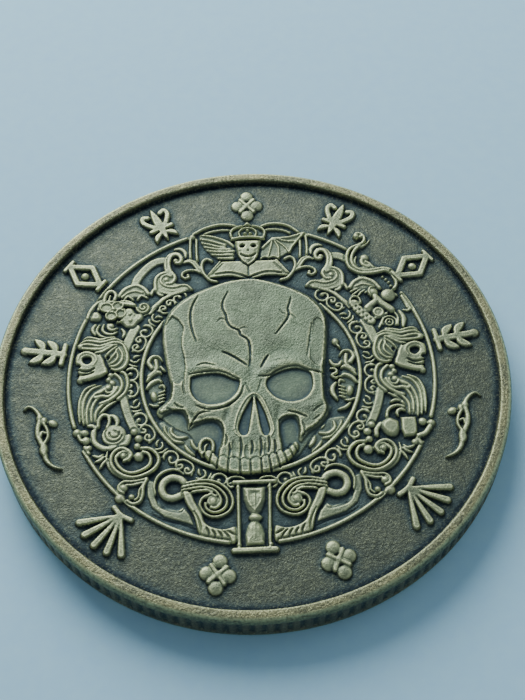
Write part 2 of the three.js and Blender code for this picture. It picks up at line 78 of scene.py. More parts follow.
def smooth_path(points, closed=False, spacing=0.09):
    """A Catmull-Rom curve through the points, sampled about every `spacing` millimetres."""
    knots = np.array(points, float)
    if closed:
        knots = np.vstack([knots[-1], knots, knots[:2]])
    else:
        knots = np.vstack([2 * knots[0] - knots[1], knots, 2 * knots[-1] - knots[-2]])
    samples = []
    for i in range(1, len(knots) - 2):
        before, start, end, after = knots[i - 1:i + 3]
        count = max(2, int(np.hypot(*(end - start)) / spacing))
        t = np.linspace(0, 1, count, endpoint=False)[:, None]
        samples.append(0.5 * (
            2 * start + (end - before) * t
            + (2 * before - 5 * start + 4 * end - after) * t ** 2
            + (3 * start - before - 3 * end + after) * t ** 3))
    samples.append(knots[-2][None, :])
    return np.vstack(samples)


def arc(cx, cy, radius, start, end, count=24):
    """Points along a circle, with its angles in degrees."""
    angles = np.radians(np.linspace(start, end, count))
    return [(cx + radius * math.cos(a), cy + radius * math.sin(a)) for a in angles]


def spiral(cx, cy, inner, outer, start, turn, count=30):
    """Points along a spiral from its inner end outwards."""
    angles = np.radians(np.linspace(start, start + turn, count))
    radii = np.linspace(inner, outer, count)
    return [(cx + r * math.cos(a), cy + r * math.sin(a)) for r, a in zip(radii, angles)]


# ---- cross-sections of a ridge: u is 0 on its centre line and 1 at its edge ----

def round_section(u):
    return np.clip(1 - u ** 3.2, 0, 1) ** 0.65


def flat_section(u):
    return np.clip((1 - u) / 0.3, 0, 1) ** 0.7


def soft_section(u):
    return np.clip(1 - u * u, 0, 1)


def split_section(u):
    """A rounded bar with a shallow channel down its middle."""
    return round_section(u) * (1 - 0.4 * np.exp(-(u / 0.28) ** 2))


TAPERS = {
    "none": lambda t: np.ones_like(t),
    "ends": lambda t: 0.35 + 0.65 * np.sin(np.pi * np.clip(t, 0, 1)) ** 0.6,
    "leaf": lambda t: 0.12 + 0.88 * np.sin(np.pi * np.clip(t, 0, 1)) ** 0.8,
    "start": lambda t: 0.3 + 0.7 * np.clip(t, 0, 1) ** 0.7,
    "end": lambda t: 0.3 + 0.7 * np.clip(1 - t, 0, 1) ** 0.7,
}


# ---- the height map ----

FAR_AWAY = 1e9


class Relief:
    """Heights above a field, and which node each spot belongs to. Owner 0 is the field."""

    def __init__(self, half_width, pitch):
        self.pitch = pitch
        self.moat = CUT_LINE  # 0 while shapes should join their neighbours
        self.axis = np.arange(-half_width, half_width + pitch / 2, pitch)
        self.x, self.y = np.meshgrid(self.axis, self.axis)
        self.height = np.zeros_like(self.x)
        self.owner = np.zeros(self.x.shape, np.int16)
        self.names = ["field"]
        self.side = 1
        self.turn = None

    def node(self, name, side=1, turn=None):
        """Draws for this node from now on, mirrored if side is -1, or set on a circle by turn."""
        if name not in self.names:
            self.names.append(name)
        self.current = self.names.index(name)
        self.side = side
        self.turn = turn

    def placed(self, points):
        points = np.array(points, float).reshape(-1, 2)
        if self.turn is not None:
            degrees, radius = self.turn
            angle = math.radians(degrees)
            u, v = points[:, 0], points[:, 1] + radius
            points = np.stack([v * math.cos(angle) + u * math.sin(angle),
                               v * math.sin(angle) - u * math.cos(angle)], 1)
        return points * (self.side, 1)

    def cells(self, low, high, margin):
        first = np.clip(((low - margin - self.axis[0]) / self.pitch).astype(int), 0, len(self.axis))
        last = np.clip(((high + margin - self.axis[0]) / self.pitch).astype(int) + 2, 0, len(self.axis))
        return slice(first[1], last[1]), slice(first[0], last[0])

    def near_path(self, path, margin):
        """Distance to a polyline, and how far along it the nearest point is, in a window around it."""
        window = self.cells(path.min(0), path.max(0), margin)
        x, y = self.x[window], self.y[window]
        distance = np.full(x.shape, FAR_AWAY)
        along = np.zeros(x.shape)
        lengths = np.hypot(*np.diff(path, axis=0).T)
        total = max(lengths.sum(), 1e-9)
        done = 0.0
        for start, end, length in zip(path[:-1], path[1:], lengths):
            if length < 1e-9:
                continue
            sub = self.cells(np.minimum(start, end), np.maximum(start, end), margin)
            part = (slice(sub[0].start - window[0].start, sub[0].stop - window[0].start),
                    slice(sub[1].start - window[1].start, sub[1].stop - window[1].start))
            dx, dy = (end - start) / length
            px, py = x[part] - start[0], y[part] - start[1]
            t = np.clip(px * dx + py * dy, 0, length)
            d = np.hypot(px - t * dx, py - t * dy)
            closer = d < distance[part]
            distance[part][closer] = d[closer]
            along[part][closer] = (done + t[closer]) / total
            done += length
        return window, distance, along

    def inside_distance(self, path, margin):
        """Distance inside a closed outline; negative outside it."""
        ring = np.vstack([path, path[:1]])
        window, distance, _ = self.near_path(ring, margin)
        x, y = self.x[window], self.y[window]
        inside = np.zeros(x.shape, bool)
        for (x0, y0), (x1, y1) in zip(ring[:-1], ring[1:]):
            if y0 == y1:
                continue
            crosses = (y0 > y) != (y1 > y)
            inside ^= crosses & (x < (x1 - x0) * (y - y0) / (y1 - y0) + x0)
        distance = np.minimum(distance, max(ring.max(0) - ring.min(0)))
        return window, np.where(inside, distance, -distance)

    def stamp(self, window, depth, rise):
        """Raises a shape. It joins its own node's metal, and stands over any other with a cut line."""
        height, owner = self.height[window], self.owner[window]
        inside = depth > 0
        own = owner == self.current
        if self.moat:
            beside = (depth <= 0) & (depth > -self.moat) & ~own
            height[beside] *= 0.3 + 0.7 * (-depth[beside] / self.moat)
        over = inside & ~own & (owner != 0) & (self.moat > 0)
        height[over] = rise[over]
        joined = inside & ~over
        height[joined] = np.maximum(height[joined], rise[joined])
        owner[inside] = self.current

    def ridge(self, points, width, height, section=round_section, taper="none"):
        path = smooth_path(self.placed(points))
        window, distance, along = self.near_path(path, width / 2 + self.moat + self.pitch)
        half = width / 2 * TAPERS[taper](along)
        self.stamp(window, half - distance, height * section(distance / half))

    def plate(self, points, height, edge=0.12, dome=0.0, smooth=False):
        placed = self.placed(points)
        path = smooth_path(placed, True) if smooth else placed
        window, depth = self.inside_distance(path, self.moat + self.pitch)
        swollen = dome * (1 - np.exp(-np.clip(depth, 0, None) / 0.5))
        rise = height * np.clip(depth / edge, 0, 1) ** 0.6 + swollen
        self.stamp(window, depth, rise)

    def bead(self, x, y, radius, height, long=None, tilt=0.0, power=0.55):
        """A domed bead, or an oval one when `long` gives its other radius."""
        centre = self.placed([(x, y)])[0]
        long = long or radius
        window = self.cells(centre, centre, max(radius, long) + self.moat + self.pitch)
        angle = math.radians(tilt) * self.side
        dx, dy = self.x[window] - centre[0], self.y[window] - centre[1]
        a = (dx * math.cos(angle) + dy * math.sin(angle)) / radius
        b = (dy * math.cos(angle) - dx * math.sin(angle)) / long
        u = np.hypot(a, b)
        depth = (1 - u) * min(radius, long)
        self.stamp(window, depth, height * np.clip(1 - u * u, 0, 1) ** power)

    def groove(self, points, width, depth, taper="ends"):
        path = smooth_path(self.placed(points))
        window, distance, along = self.near_path(path, width)
        half = width / 2 * TAPERS[taper](along)
        self.height[window] -= depth * soft_section(distance / half)

    def swell(self, points, width, height):
        """Adds a broad soft rise, or a hollow when height is negative, without changing owners."""
        path = smooth_path(self.placed(points))
        window, distance, along = self.near_path(path, width)
        fade = TAPERS["ends"](along)
        self.height[window] += height * fade * np.exp(-(distance / (width * 0.4)) ** 2)

    def hollow(self, points, floor, lip=0.18, smooth=True):
        """Cuts a flat-bottomed hollow inside an outline."""
        placed = self.placed(points)
        path = smooth_path(placed, True) if smooth else placed
        window, depth = self.inside_distance(path, self.pitch)
        height = self.height[window]
        blend = np.clip(depth / lip, 0, 1)
        blend = blend * blend * (3 - 2 * blend)
        height[:] = height + (np.minimum(height, floor) - height) * blend

    def blur(self, values, sigma):
        """Gaussian blur with a radius in millimetres."""
        frequency = np.fft.fftfreq(len(self.axis), self.pitch)
        gain = np.exp(-2 * (math.pi * sigma * frequency) ** 2)
        return np.real(np.fft.ifft2(np.fft.fft2(values) * gain[:, None] * gain[None, :]))


# ---- the obverse design ----
# Coordinates are millimetres from the coin's centre, +Y to the top of the design.

SIDES = (("left", 1), ("right", -1))
WIRE = 0.21
FULL_TURN = 6.28              # radians, near enough for a wander or a closed rim
EIGHTH_TURN = 0.785


def draw_scroll_vine(die):
    """The running band of small wire scrolls between the two ring lines; offsets are degrees along it."""
    repeats, period = 6, 25.4
    double_scroll = [(0.45, 0.12), (0.28, -0.02), (0.12, 0.15), (0.32, 0.42), (0.62, 0.28), (0.68, -0.12),
                     (0.42, -0.4), (0, -0.48), (-0.42, -0.4), (-0.68, -0.12), (-0.62, 0.28), (-0.32, 0.42),
                     (-0.12, 0.15), (-0.28, -0.02), (-0.45, 0.12)]
    hooked_scroll = [(0.35, 0.42), (0.56, 0.08), (0.36, -0.36), (-0.05, -0.5), (-0.46, -0.3), (-0.52, 0.1),
                     (-0.28, 0.36), (0.02, 0.22)]
    for name, side in SIDES:
        first = 126.9 if side == 1 else 128.9
        for k in range(repeats):
            at = first + period * k
            node = f"scroll_vine_{name}"
            die.node(node, side, (at, VINE_RADIUS))
            die.ridge(hooked_scroll, WIRE, 0.2)
            die.bead(0.02, 0.08, 0.19, 0.22)
            die.node(node, side, (at + 8.1, VINE_RADIUS))
            die.ridge(double_scroll, WIRE, 0.2)
            die.bead(0.38, 0.12, 0.12, 0.2)
            die.bead(-0.38, 0.12, 0.12, 0.2)
            if k == repeats - 1:
                continue
            die.node(node, side, (at + 17.6, VINE_RADIUS))
            die.ridge([(0.42, 0.42), (0.1, 0.36), (-0.15, 0.08), (-0.1, -0.25), (0.2, -0.42)], WIRE, 0.2,
                      taper="ends")
            die.ridge([(0.15, 0.08), (0.36, -0.02), (0.5, -0.36)], 0.24, 0.2, taper="ends")
            die.ridge([(-0.18, 0.45), (-0.48, 0.16), (-0.5, -0.4)], 0.22, 0.2, taper="ends")
            die.node(node, side, (at + 12.8, VINE_RADIUS))
            die.ridge([(0, 0.42), (0.02, 0.1)], 0.2, 0.16, taper="ends")
            die.node(node, side, (at + 22.3, VINE_RADIUS))
            die.ridge([(0, 0.45), (-0.05, 0.1), (0.05, -0.35)], 0.2, 0.18, taper="ends")


def draw_lines(die):
    """The two ring lines, broken where the ornaments cross them."""
    width, height = 0.36, 0.27
    for name, start, end in (("outer_line_upper_left", 108.5, 197.5), ("outer_line_lower_left", 206.5, 262),
                             ("outer_line_lower_right", -83, -27), ("outer_line_right", -17.5, 30),
                             ("outer_line_top", 55, 70.5)):
        die.node(name)
        die.ridge(arc(0.0, 0.1, OUTER_LINE, start, end, 40), width, height)
    die.node("inner_line")
    die.ridge(arc(-0.06, 0.05, INNER_LINE, 140, 408, 90), width, height)
    for name, x in (("outer_line_lower_left", -9.85), ("outer_line_lower_right", 9.9)):
        die.node(name)
        die.bead(x, -10.15, 0.42, 0.3)


def draw_bands(die):
    """Flat strapwork that lies behind the ornaments."""
    for name, side in SIDES:
        die.node(f"upper_scroll_{name}", side)
        die.ridge([(-9.3, 8.5), (-9.1, 9.3), (-8.6, 10.1), (-8.0, 10.75), (-7.4, 11.1), (-6.8, 11.15)],
                  0.78, 0.17, flat_section)
        die.ridge([(-8.45, 5.9), (-7.9, 6.35), (-7.4, 6.85), (-7.0, 7.25), (-6.5, 7.6), (-5.9, 7.85),
                   (-5.2, 8.1)], 0.34, 0.2, flat_section)
        die.plate([(-10.6, 7.7), (-10.2, 8.3), (-9.6, 8.75), (-8.9, 8.8), (-8.3, 8.4), (-8.1, 7.85),
                   (-8.6, 7.6), (-9.4, 7.5)], 0.14, smooth=True)
        die.ridge([(-10.5, 7.75), (-10.0, 8.4), (-9.2, 8.72), (-8.55, 8.45), (-8.15, 7.9)], 0.42, 0.26)
        die.ridge([(-10.25, 7.6), (-9.75, 8.05), (-9.15, 8.18), (-8.6, 8.0)], 0.22, 0.24)
        die.ridge([(-10.05, 7.4), (-9.75, 7.7), (-9.35, 7.35)], 0.22, 0.22)
        die.ridge([(-9.0, 7.35), (-8.7, 7.7), (-8.2, 7.5)], 0.22, 0.22)
        die.node(f"mask_{name}", side)
        die.ridge(arc(0, 0, 10.2, 153, 165, 10), 0.85, 0.17, flat_section)
        die.node(f"beard_{name}", side)
        die.ridge(arc(0, 0, 10.0, 190, 208, 12), 0.72, 0.17, flat_section)
        die.node(f"big_spiral_{name}", side)
        die.plate([(-7.95, -8.6), (-7.3, -8.9), (-7.25, -10.2), (-6.7, -11.0), (-5.6, -11.25),
                   (-5.2, -11.0), (-4.7, -11.6), (-4.4, -12.5), (-5.3, -12.2), (-6.6, -11.75),
                   (-7.5, -11.0), (-7.9, -10)], 0.12)
        die.groove([(-7.2, -9.9), (-7.0, -10.8), (-6.2, -11.25), (-5.4, -11.4), (-5.15, -11.1)], 0.16, 0.1)
        die.groove([(-7.55, -11.4), (-6.6, -11.95), (-5.3, -12.35), (-4.3, -12.8)], 0.14, 0.08)


def draw_upper_scrolls(die):
    """The pair of scrolls with rolled heads beside the cartouche."""
    for name, side in SIDES:
        die.node(f"upper_scroll_{name}", side)
        die.ridge([(-6.1, 12.25), (-5.6, 12.3), (-5.2, 11.95), (-5.15, 11.4)], 0.4, 0.16, taper="ends")
        die.ridge([(-6.4, 9.7), (-6.62, 10.4), (-6.6, 11.1), (-6.3, 11.65), (-5.8, 11.7), (-5.5, 11.3),
                   (-5.6, 10.85), (-5.95, 10.8)], 0.74, 0.3, flat_section, taper="end")
        die.groove([(-6.62, 10.2), (-6.68, 11.1), (-6.35, 11.8), (-5.75, 11.85)], 0.14, 0.1)
        die.bead(-5.95, 11.05, 0.27, 0.34)
        die.plate([(-7.75, 8.2), (-7.7, 9.2), (-7.3, 9.75), (-6.7, 9.95), (-6.1, 9.6), (-6.0, 9.0),
                   (-5.4, 8.8), (-4.7, 8.5), (-4.5, 8.1), (-5.4, 7.9), (-6.6, 7.8), (-7.4, 7.8)], 0.18,
                  edge=0.2, smooth=True)
        die.ridge([(-6.5, 10.1), (-6.15, 9.75), (-6.0, 9.3), (-6.25, 8.85), (-6.65, 8.8)], 0.36, 0.3)
        die.ridge([(-7.55, 8.2), (-7.6, 8.9), (-7.5, 9.4), (-7.15, 9.75), (-6.75, 9.85), (-6.35, 9.7)],
                  0.38, 0.3)
        die.ridge([(-6.3, 9.45), (-6.6, 9.6), (-7.0, 9.5), (-7.15, 9.1), (-7.0, 8.75), (-6.6, 8.5),
                   (-6.0, 8.45), (-5.5, 8.6), (-5.0, 8.55), (-4.65, 8.2)], 0.28, 0.28)
        die.bead(-6.7, 9.18, 0.3, 0.32)
        die.ridge([(-7.2, 8.6), (-6.8, 8.25), (-6.2, 8.1), (-5.6, 8.2), (-5.1, 8.25)], 0.22, 0.2)
        die.ridge([(-7.5, 8.3), (-7.0, 7.95), (-6.3, 7.85), (-5.6, 7.95)], 0.24, 0.2, taper="ends")
        die.ridge([(-7.9, 7.7), (-7.75, 8.2), (-7.45, 8.4)], 0.34, 0.24, taper="ends")
        die.ridge([(-7.5, 8.1), (-7.2, 7.75), (-6.9, 7.7)], 0.3, 0.2, taper="ends")
        die.ridge([(-6.9, 7.4), (-7.3, 6.9), (-7.7, 6.4), (-8.0, 6.05)], 0.4, 0.16, flat_section)


def draw_flower(die):
    """The two blossoms at the upper left, with their leaves, a snail curl and a fan of leaves below."""
    die.node("flower")
    die.ridge([(-12.95, 5.7), (-12.75, 6.4), (-12.3, 7.05), (-11.7, 7.4)], 0.34, 0.2)
    die.plate([(-12.75, 5.5), (-12.55, 6.25), (-12.1, 6.3), (-11.8, 5.9), (-11.85, 5.5), (-12.2, 5.35)], 0.28,
              edge=0.25, smooth=True)
    die.ridge([(-12.1, 6.5), (-11.95, 6.95), (-11.5, 7.2), (-10.9, 7.18)], 0.34, 0.22)
    die.ridge([(-11.65, 7.2), (-11.6, 7.7), (-11.35, 8.15), (-11.0, 8.2), (-10.75, 7.85), (-10.85, 7.35)],
              0.36, 0.28)
    die.ridge([(-11.3, 7.35), (-11.2, 7.8)], 0.2, 0.22)
    for points, width in (([(-12.25, 5.1), (-12.5, 4.6), (-12.25, 4.05)], 0.36),
                          ([(-11.95, 5.05), (-12.15, 4.5), (-11.85, 4.0), (-11.3, 3.82), (-10.7, 3.85)], 0.3),
                          ([(-11.6, 5.1), (-11.7, 4.55), (-11.4, 4.2), (-10.9, 4.12), (-10.5, 4.35)], 0.32),
                          ([(-11.3, 5.1), (-11.25, 4.7), (-10.9, 4.5), (-10.5, 4.7)], 0.3),
                          ([(-10.2, 4.6), (-9.95, 4.2), (-10.1, 3.75)], 0.34)):
        die.ridge(points, width, 0.22, taper="ends")
    die.bead(-11.05, 4.9, 0.3, 0.24)

    die.plate([(-9.95, 6.5), (-9.4, 6.55), (-9.05, 6.1), (-8.5, 5.95), (-8.5, 5.45), (-8.85, 5.1),
               (-9.2, 4.65), (-9.8, 4.65), (-10.15, 4.95), (-10.45, 5.3), (-10.2, 5.7)], 0.26, edge=0.22,
              smooth=True)
    for x, y, radius, long in (
            (-11.45, 6.62, 0.56, 0.46), (-10.55, 6.78, 0.5, 0.42), (-10.3, 6.02, 0.44, 0.44),
            (-11.05, 5.82, 0.5, 0.44)):
        die.bead(x, y, radius, 0.2, long=long, power=0.15)
        rim = [(x + (radius - 0.07) * math.cos(a),
                y + (long - 0.07) * math.sin(a)) for a in np.linspace(0, FULL_TURN, 20)]
        die.ridge(rim, 0.18, 0.34)
    die.bead(-10.88, 6.36, 0.34, 0.16, power=0.2)
    die.bead(-10.85, 6.4, 0.22, 0.42)
    die.ridge([(-10.4, 7.3), (-9.8, 7.22), (-9.3, 7.05)], 0.2, 0.24, taper="ends")
    die.ridge([(-10.3, 7.0), (-9.8, 6.92), (-9.25, 6.8)], 0.42, 0.3)
    for x, y, radius in ((-9.55, 5.9, 0.19), (-9.5, 5.3, 0.21), (-10.2, 5.25, 0.17), (-10.5, 5.2, 0.14),
                         (-10.0, 6.35, 0.14)):
        die.bead(x, y, radius, 0.38)
    die.swell([(-9.2, 5.8), (-9.0, 5.7)], 0.5, -0.06)
    die.swell([(-9.5, 4.95), (-9.4, 4.95)], 0.4, -0.05)
    die.bead(-8.5, 6.55, 0.62, 0.12)
    die.ridge(spiral(-8.5, 6.55, 0.08, 0.55, 60, -600), 0.22, 0.28)


def draw_knot(die):
    """The tied ribbon, bead cord and rings at the upper right."""
    die.node("knot")
    die.ridge([(12.6, 5.7), (12.45, 6.3), (12.15, 6.9)], 0.3, 0.2, taper="ends")
    die.ridge([(12.2, 5.6), (12.6, 5.5), (12.8, 5.8)], 0.24, 0.2, taper="ends")
    die.ridge([(11.9, 5.5), (12.2, 4.8), (12.1, 3.95)], 0.5, 0.24, taper="ends")
    die.ridge([(12.25, 6.9), (12.6, 6.2), (12.85, 5.6)], 0.24, 0.24)
    die.ridge([(11.4, 5.6), (11.75, 4.9), (11.7, 4.2)], 0.22, 0.2)
    die.ridge(arc(11.05, 4.45, 0.56, -30, 200, 16), 0.17, 0.2)
    die.ridge(arc(11.05, 4.45, 0.3, 0, 360, 16), 0.15, 0.2)
    die.bead(11.05, 4.45, 0.14, 0.24)
    die.ridge([(10.6, 4.9), (10.4, 4.4), (10.15, 3.9)], 0.26, 0.18, taper="ends")
    die.ridge([(10.0, 4.9), (10.4, 5.0), (10.9, 5.3)], 0.3, 0.18)
    die.ridge([(8.35, 6.3), (8.7, 5.7), (9.15, 5.15), (9.6, 4.65)], 0.85, 0.24, flat_section)
    pits = 14
    for k in range(pits):
        t, lane = k / (pits - 1), (k % 3 - 1) * 0.23
        x, y = 8.4 + 1.2 * t + lane, 6.1 - 1.4 * t + lane
        die.groove([(x, y), (x + 0.02, y)], 0.2, 0.12, taper="none")
    die.ridge([(8.05, 6.3), (8.1, 6.75), (8.45, 7.0), (8.8, 6.8), (8.9, 6.35)], 0.22, 0.26)
    die.bead(8.5, 6.45, 0.24, 0.28)
    die.ridge([(8.2, 7.1), (8.6, 7.4), (9.0, 7.7)], 0.2, 0.18, taper="ends")
    die.ridge([(8.7, 7.0), (9.0, 7.4), (9.4, 7.65)], 0.2, 0.18, taper="ends")
    die.bead(10.25, 5.45, 0.6, 0.2)
    die.ridge(arc(10.25, 5.4, 0.36, 0, 360, 16), 0.24, 0.26)
    die.bead(9.5, 5.75, 0.52, 0.3, long=0.34, tilt=40)
    die.bead(11.2, 5.7, 0.46, 0.32, long=0.36, tilt=-40)
    die.ridge([(9.4, 5.85), (9.8, 6.2), (10.3, 6.55)], 0.62, 0.34)
    die.ridge([(10.2, 6.7), (10.5, 6.3), (10.9, 5.95), (11.3, 5.6)], 0.66, 0.36)
    die.ridge([(10.1, 6.9), (10.2, 6.5)], 0.6, 0.36)
    die.bead(9.95, 7.3, 0.44, 0.38, long=0.5)
    die.ridge([(9.75, 6.85), (9.6, 7.3), (9.75, 7.7), (10.1, 7.8)], 0.26, 0.42, taper="ends")
    die.bead(11.15, 7.0, 0.62, 0.4, power=0.4)
    die.ridge([(11.5, 7.25), (11.8, 7.0)], 0.3, 0.24)


def draw_acanthus(die):
    """The S-shaped leaf that climbs over the outer line at the upper right."""
    die.node("acanthus")
    for x, y in ((10.85, 8.85), (11.1, 8.6), (11.3, 8.3), (11.45, 7.95)):
        die.bead(x, y, 0.16, 0.2, long=0.12, tilt=40)
    die.ridge([(9.0, 9.75), (9.6, 9.75), (10.2, 9.8), (10.5, 9.7)], 0.3, 0.2)
    die.ridge([(10.15, 9.8), (9.85, 10.2), (9.6, 10.35)], 0.34, 0.26)
    die.ridge([(9.55, 10.9), (9.25, 10.5), (9.35, 10.1), (9.8, 9.85)], 0.4, 0.26)
    die.bead(9.5, 10.75, 0.4, 0.34)
    die.ridge([(8.85, 11.0), (8.7, 10.5), (8.8, 10.0), (9.2, 9.7)], 0.22, 0.2, taper="ends")
    die.ridge([(10.05, 12.6), (9.8, 12.2), (9.3, 11.85)], 0.26, 0.24, taper="start")
    die.ridge([(9.35, 12.9), (9.6, 12.95), (9.6, 12.5), (9.3, 12.15), (8.8, 11.95), (8.35, 11.65),
               (8.1, 11.1), (8.05, 10.4), (8.3, 9.75), (8.9, 9.3), (9.7, 9.2), (10.5, 9.3), (11.1, 9.4),
               (11.6, 9.1), (11.85, 8.5), (11.85, 7.9), (11.5, 7.4)], 0.34, 0.34)
    die.ridge([(9.2, 12.0), (8.8, 11.6), (8.5, 11.0), (8.45, 10.3), (8.75, 9.75), (9.3, 9.5), (10.1, 9.5),
               (10.9, 9.65), (11.5, 9.5), (12.0, 9.0), (12.1, 8.4)], 0.34, 0.32)
    die.ridge([(8.85, 12.95), (9.0, 13.25), (9.35, 13.2), (9.6, 12.95)], 0.3, 0.34)
    die.bead(8.98, 12.95, 0.3, 0.4)


def draw_masks(die):
    """Two grotesque heads in profile, their hair and beards streaming."""
    for name, side in SIDES:
        die.node(f"beard_{name}", side)
        die.plate([(-12.6, -0.7), (-11.4, -0.5), (-10.6, 0.4), (-9.9, 0.4), (-9.6, -0.6), (-10.0, -1.6),
                   (-10.9, -2.2), (-11.5, -2.8), (-11.7, -3.9), (-12.6, -4.0), (-13.1, -3.4), (-13.1, -1.8)],
                  0.1, smooth=True)
        for points, width in (
                ([(-12.0, -0.45), (-12.8, -0.9), (-13.15, -1.8), (-13.2, -2.8), (-13.1, -3.8)], 0.3),
                ([(-11.6, -0.55), (-12.35, -0.95), (-12.8, -1.7), (-12.92, -2.7), (-12.8, -4.0)], 0.32),
                ([(-11.3, -0.85), (-12.0, -1.3), (-12.42, -2.0), (-12.6, -2.9), (-12.5, -4.1)], 0.32),
                ([(-11.5, -1.5), (-12.0, -2.0), (-12.25, -2.8), (-12.2, -3.8)], 0.32),
                ([(-10.9, -2.1), (-11.5, -2.4), (-11.9, -3.0), (-11.9, -3.9)], 0.3),
                ([(-10.4, -2.0), (-11.1, -2.5), (-11.55, -3.1), (-11.6, -3.7)], 0.3)):
            die.ridge(points, width, 0.26, taper="ends")
        die.ridge([(-10.3, 0.75), (-9.75, 0.35), (-9.55, -0.5), (-9.75, -1.3), (-10.25, -1.85)], 0.32, 0.3)
        die.ridge([(-10.55, 0.4), (-10.1, -0.1), (-10.0, -0.8), (-10.35, -1.45), (-10.9, -1.9),
                   (-11.6, -2.2)], 0.32, 0.3)
        die.ridge([(-12.0, -1.65), (-11.5, -1.55), (-11.0, -1.6), (-10.6, -1.3), (-10.35, -0.8)], 0.36, 0.3)
        for x, y, radius in (
                (-10.9, 0.3, 0.27), (-11.05, -0.1, 0.25), (-10.75, -0.4, 0.3), (-11.05, -0.8, 0.3)):
            die.bead(x, y, radius, 0.3)
        die.ridge([(-11.3, -0.95), (-11.1, -1.25), (-10.7, -1.15), (-10.6, -0.75)], 0.22, 0.28)
        die.ridge([(-11.9, -1.35), (-11.5, -1.1), (-11.3, -0.8)], 0.32, 0.26, taper="ends")

        die.node(f"mask_{name}", side)
        die.plate([(-13.4, 2.9), (-13.1, 3.75), (-12.4, 3.85), (-11.6, 3.6), (-10.8, 3.75), (-10.1, 3.5),
                   (-9.65, 2.9), (-9.5, 2.2), (-9.7, 1.4), (-10.1, 0.85), (-10.8, 0.75), (-11.2, 1.2),
                   (-11.5, 1.9), (-12.2, 2.4)], 0.16, smooth=True)
        die.plate([(-13.65, 2.3), (-13.2, 2.5), (-12.3, 2.4), (-11.6, 2.1), (-11.3, 1.3), (-11.1, 0.75),
                   (-11.5, 0.2), (-12.6, -0.1), (-13.45, -0.2), (-13.4, 0.4), (-13.6, 1.1), (-13.75, 1.7)],
                  0.3, edge=0.16, smooth=True)
        die.ridge([(-13.5, 1.75), (-13.3, 2.25), (-12.85, 2.4), (-12.3, 2.2), (-12.05, 1.7), (-12.3, 1.2)],
                  0.36, 0.36, taper="ends")
        die.hollow([(-13.2, 1.9), (-12.85, 2.1), (-12.45, 1.95), (-12.4, 1.55), (-12.75, 1.3), (-13.1, 1.5)],
                   0.02, lip=0.1)
        die.hollow([(-13.75, 1.35), (-13.4, 1.4), (-13.2, 1.1), (-13.5, 0.95), (-13.8, 1.0)], 0.04, lip=0.1)
        die.groove([(-13.55, 0.95), (-13.1, 0.72), (-12.6, 0.72), (-12.15, 0.95)], 0.24, 0.2)
        die.groove([(-13.45, 0.42), (-12.9, 0.42), (-12.2, 0.62)], 0.26, 0.22)
        die.ridge([(-13.4, -0.08), (-12.8, 0.08), (-12.1, 0.3), (-11.2, 0.62)], 0.56, 0.32, taper="ends")
        die.bead(-13.25, -0.1, 0.28, 0.32)
        die.ridge([(-11.8, 2.2), (-11.75, 1.8), (-11.5, 1.5)], 0.44, 0.28, taper="ends")
        for points, width in (
                ([(-10.9, 0.85), (-10.4, 0.75), (-9.9, 1.0), (-9.65, 1.6), (-9.7, 2.3), (-10.0, 2.95)],
                 0.36), ([(-11.0, 1.1), (-10.5, 1.15), (-10.1, 1.6), (-10.05, 2.2), (-10.35, 2.8)], 0.3),
                ([(-11.0, 1.3), (-10.65, 1.5), (-10.4, 1.9), (-10.45, 2.4)], 0.26),
                ([(-11.1, 1.6), (-10.85, 1.95), (-10.6, 2.3), (-10.5, 2.7)], 0.26),
                ([(-11.4, 1.9), (-11.15, 2.3), (-10.85, 2.6), (-10.5, 2.9)], 0.26),
                ([(-12.2, 2.4), (-11.7, 2.45), (-11.2, 2.72), (-10.8, 2.95)], 0.3),
                ([(-13.5, 2.85), (-12.9, 2.78), (-12.3, 2.72), (-11.7, 2.72), (-11.1, 2.98), (-10.5, 3.05)],
                 0.34),
                ([(-13.6, 3.02), (-13.0, 3.18), (-12.5, 3.12), (-11.9, 2.98), (-11.3, 3.12), (-10.7, 3.3),
                  (-10.1, 3.12), (-9.7, 2.6)], 0.34),
                ([(-13.4, 3.3), (-12.9, 3.5), (-12.4, 3.45), (-11.8, 3.32), (-11.3, 3.42), (-10.6, 3.58),
                  (-10.0, 3.32)], 0.32),
                ([(-13.2, 3.6), (-12.8, 3.82), (-12.3, 3.72), (-11.8, 3.58), (-11.2, 3.72), (-10.6, 3.8)],
                 0.3)):
            die.ridge(points, width, 0.32, taper="ends")
        die.bead(-13.35, 3.0, 0.3, 0.34)
        die.hollow([(-11.35, 2.05), (-11.05, 2.1), (-10.95, 1.8), (-11.2, 1.65)], 0.05, lip=0.12)


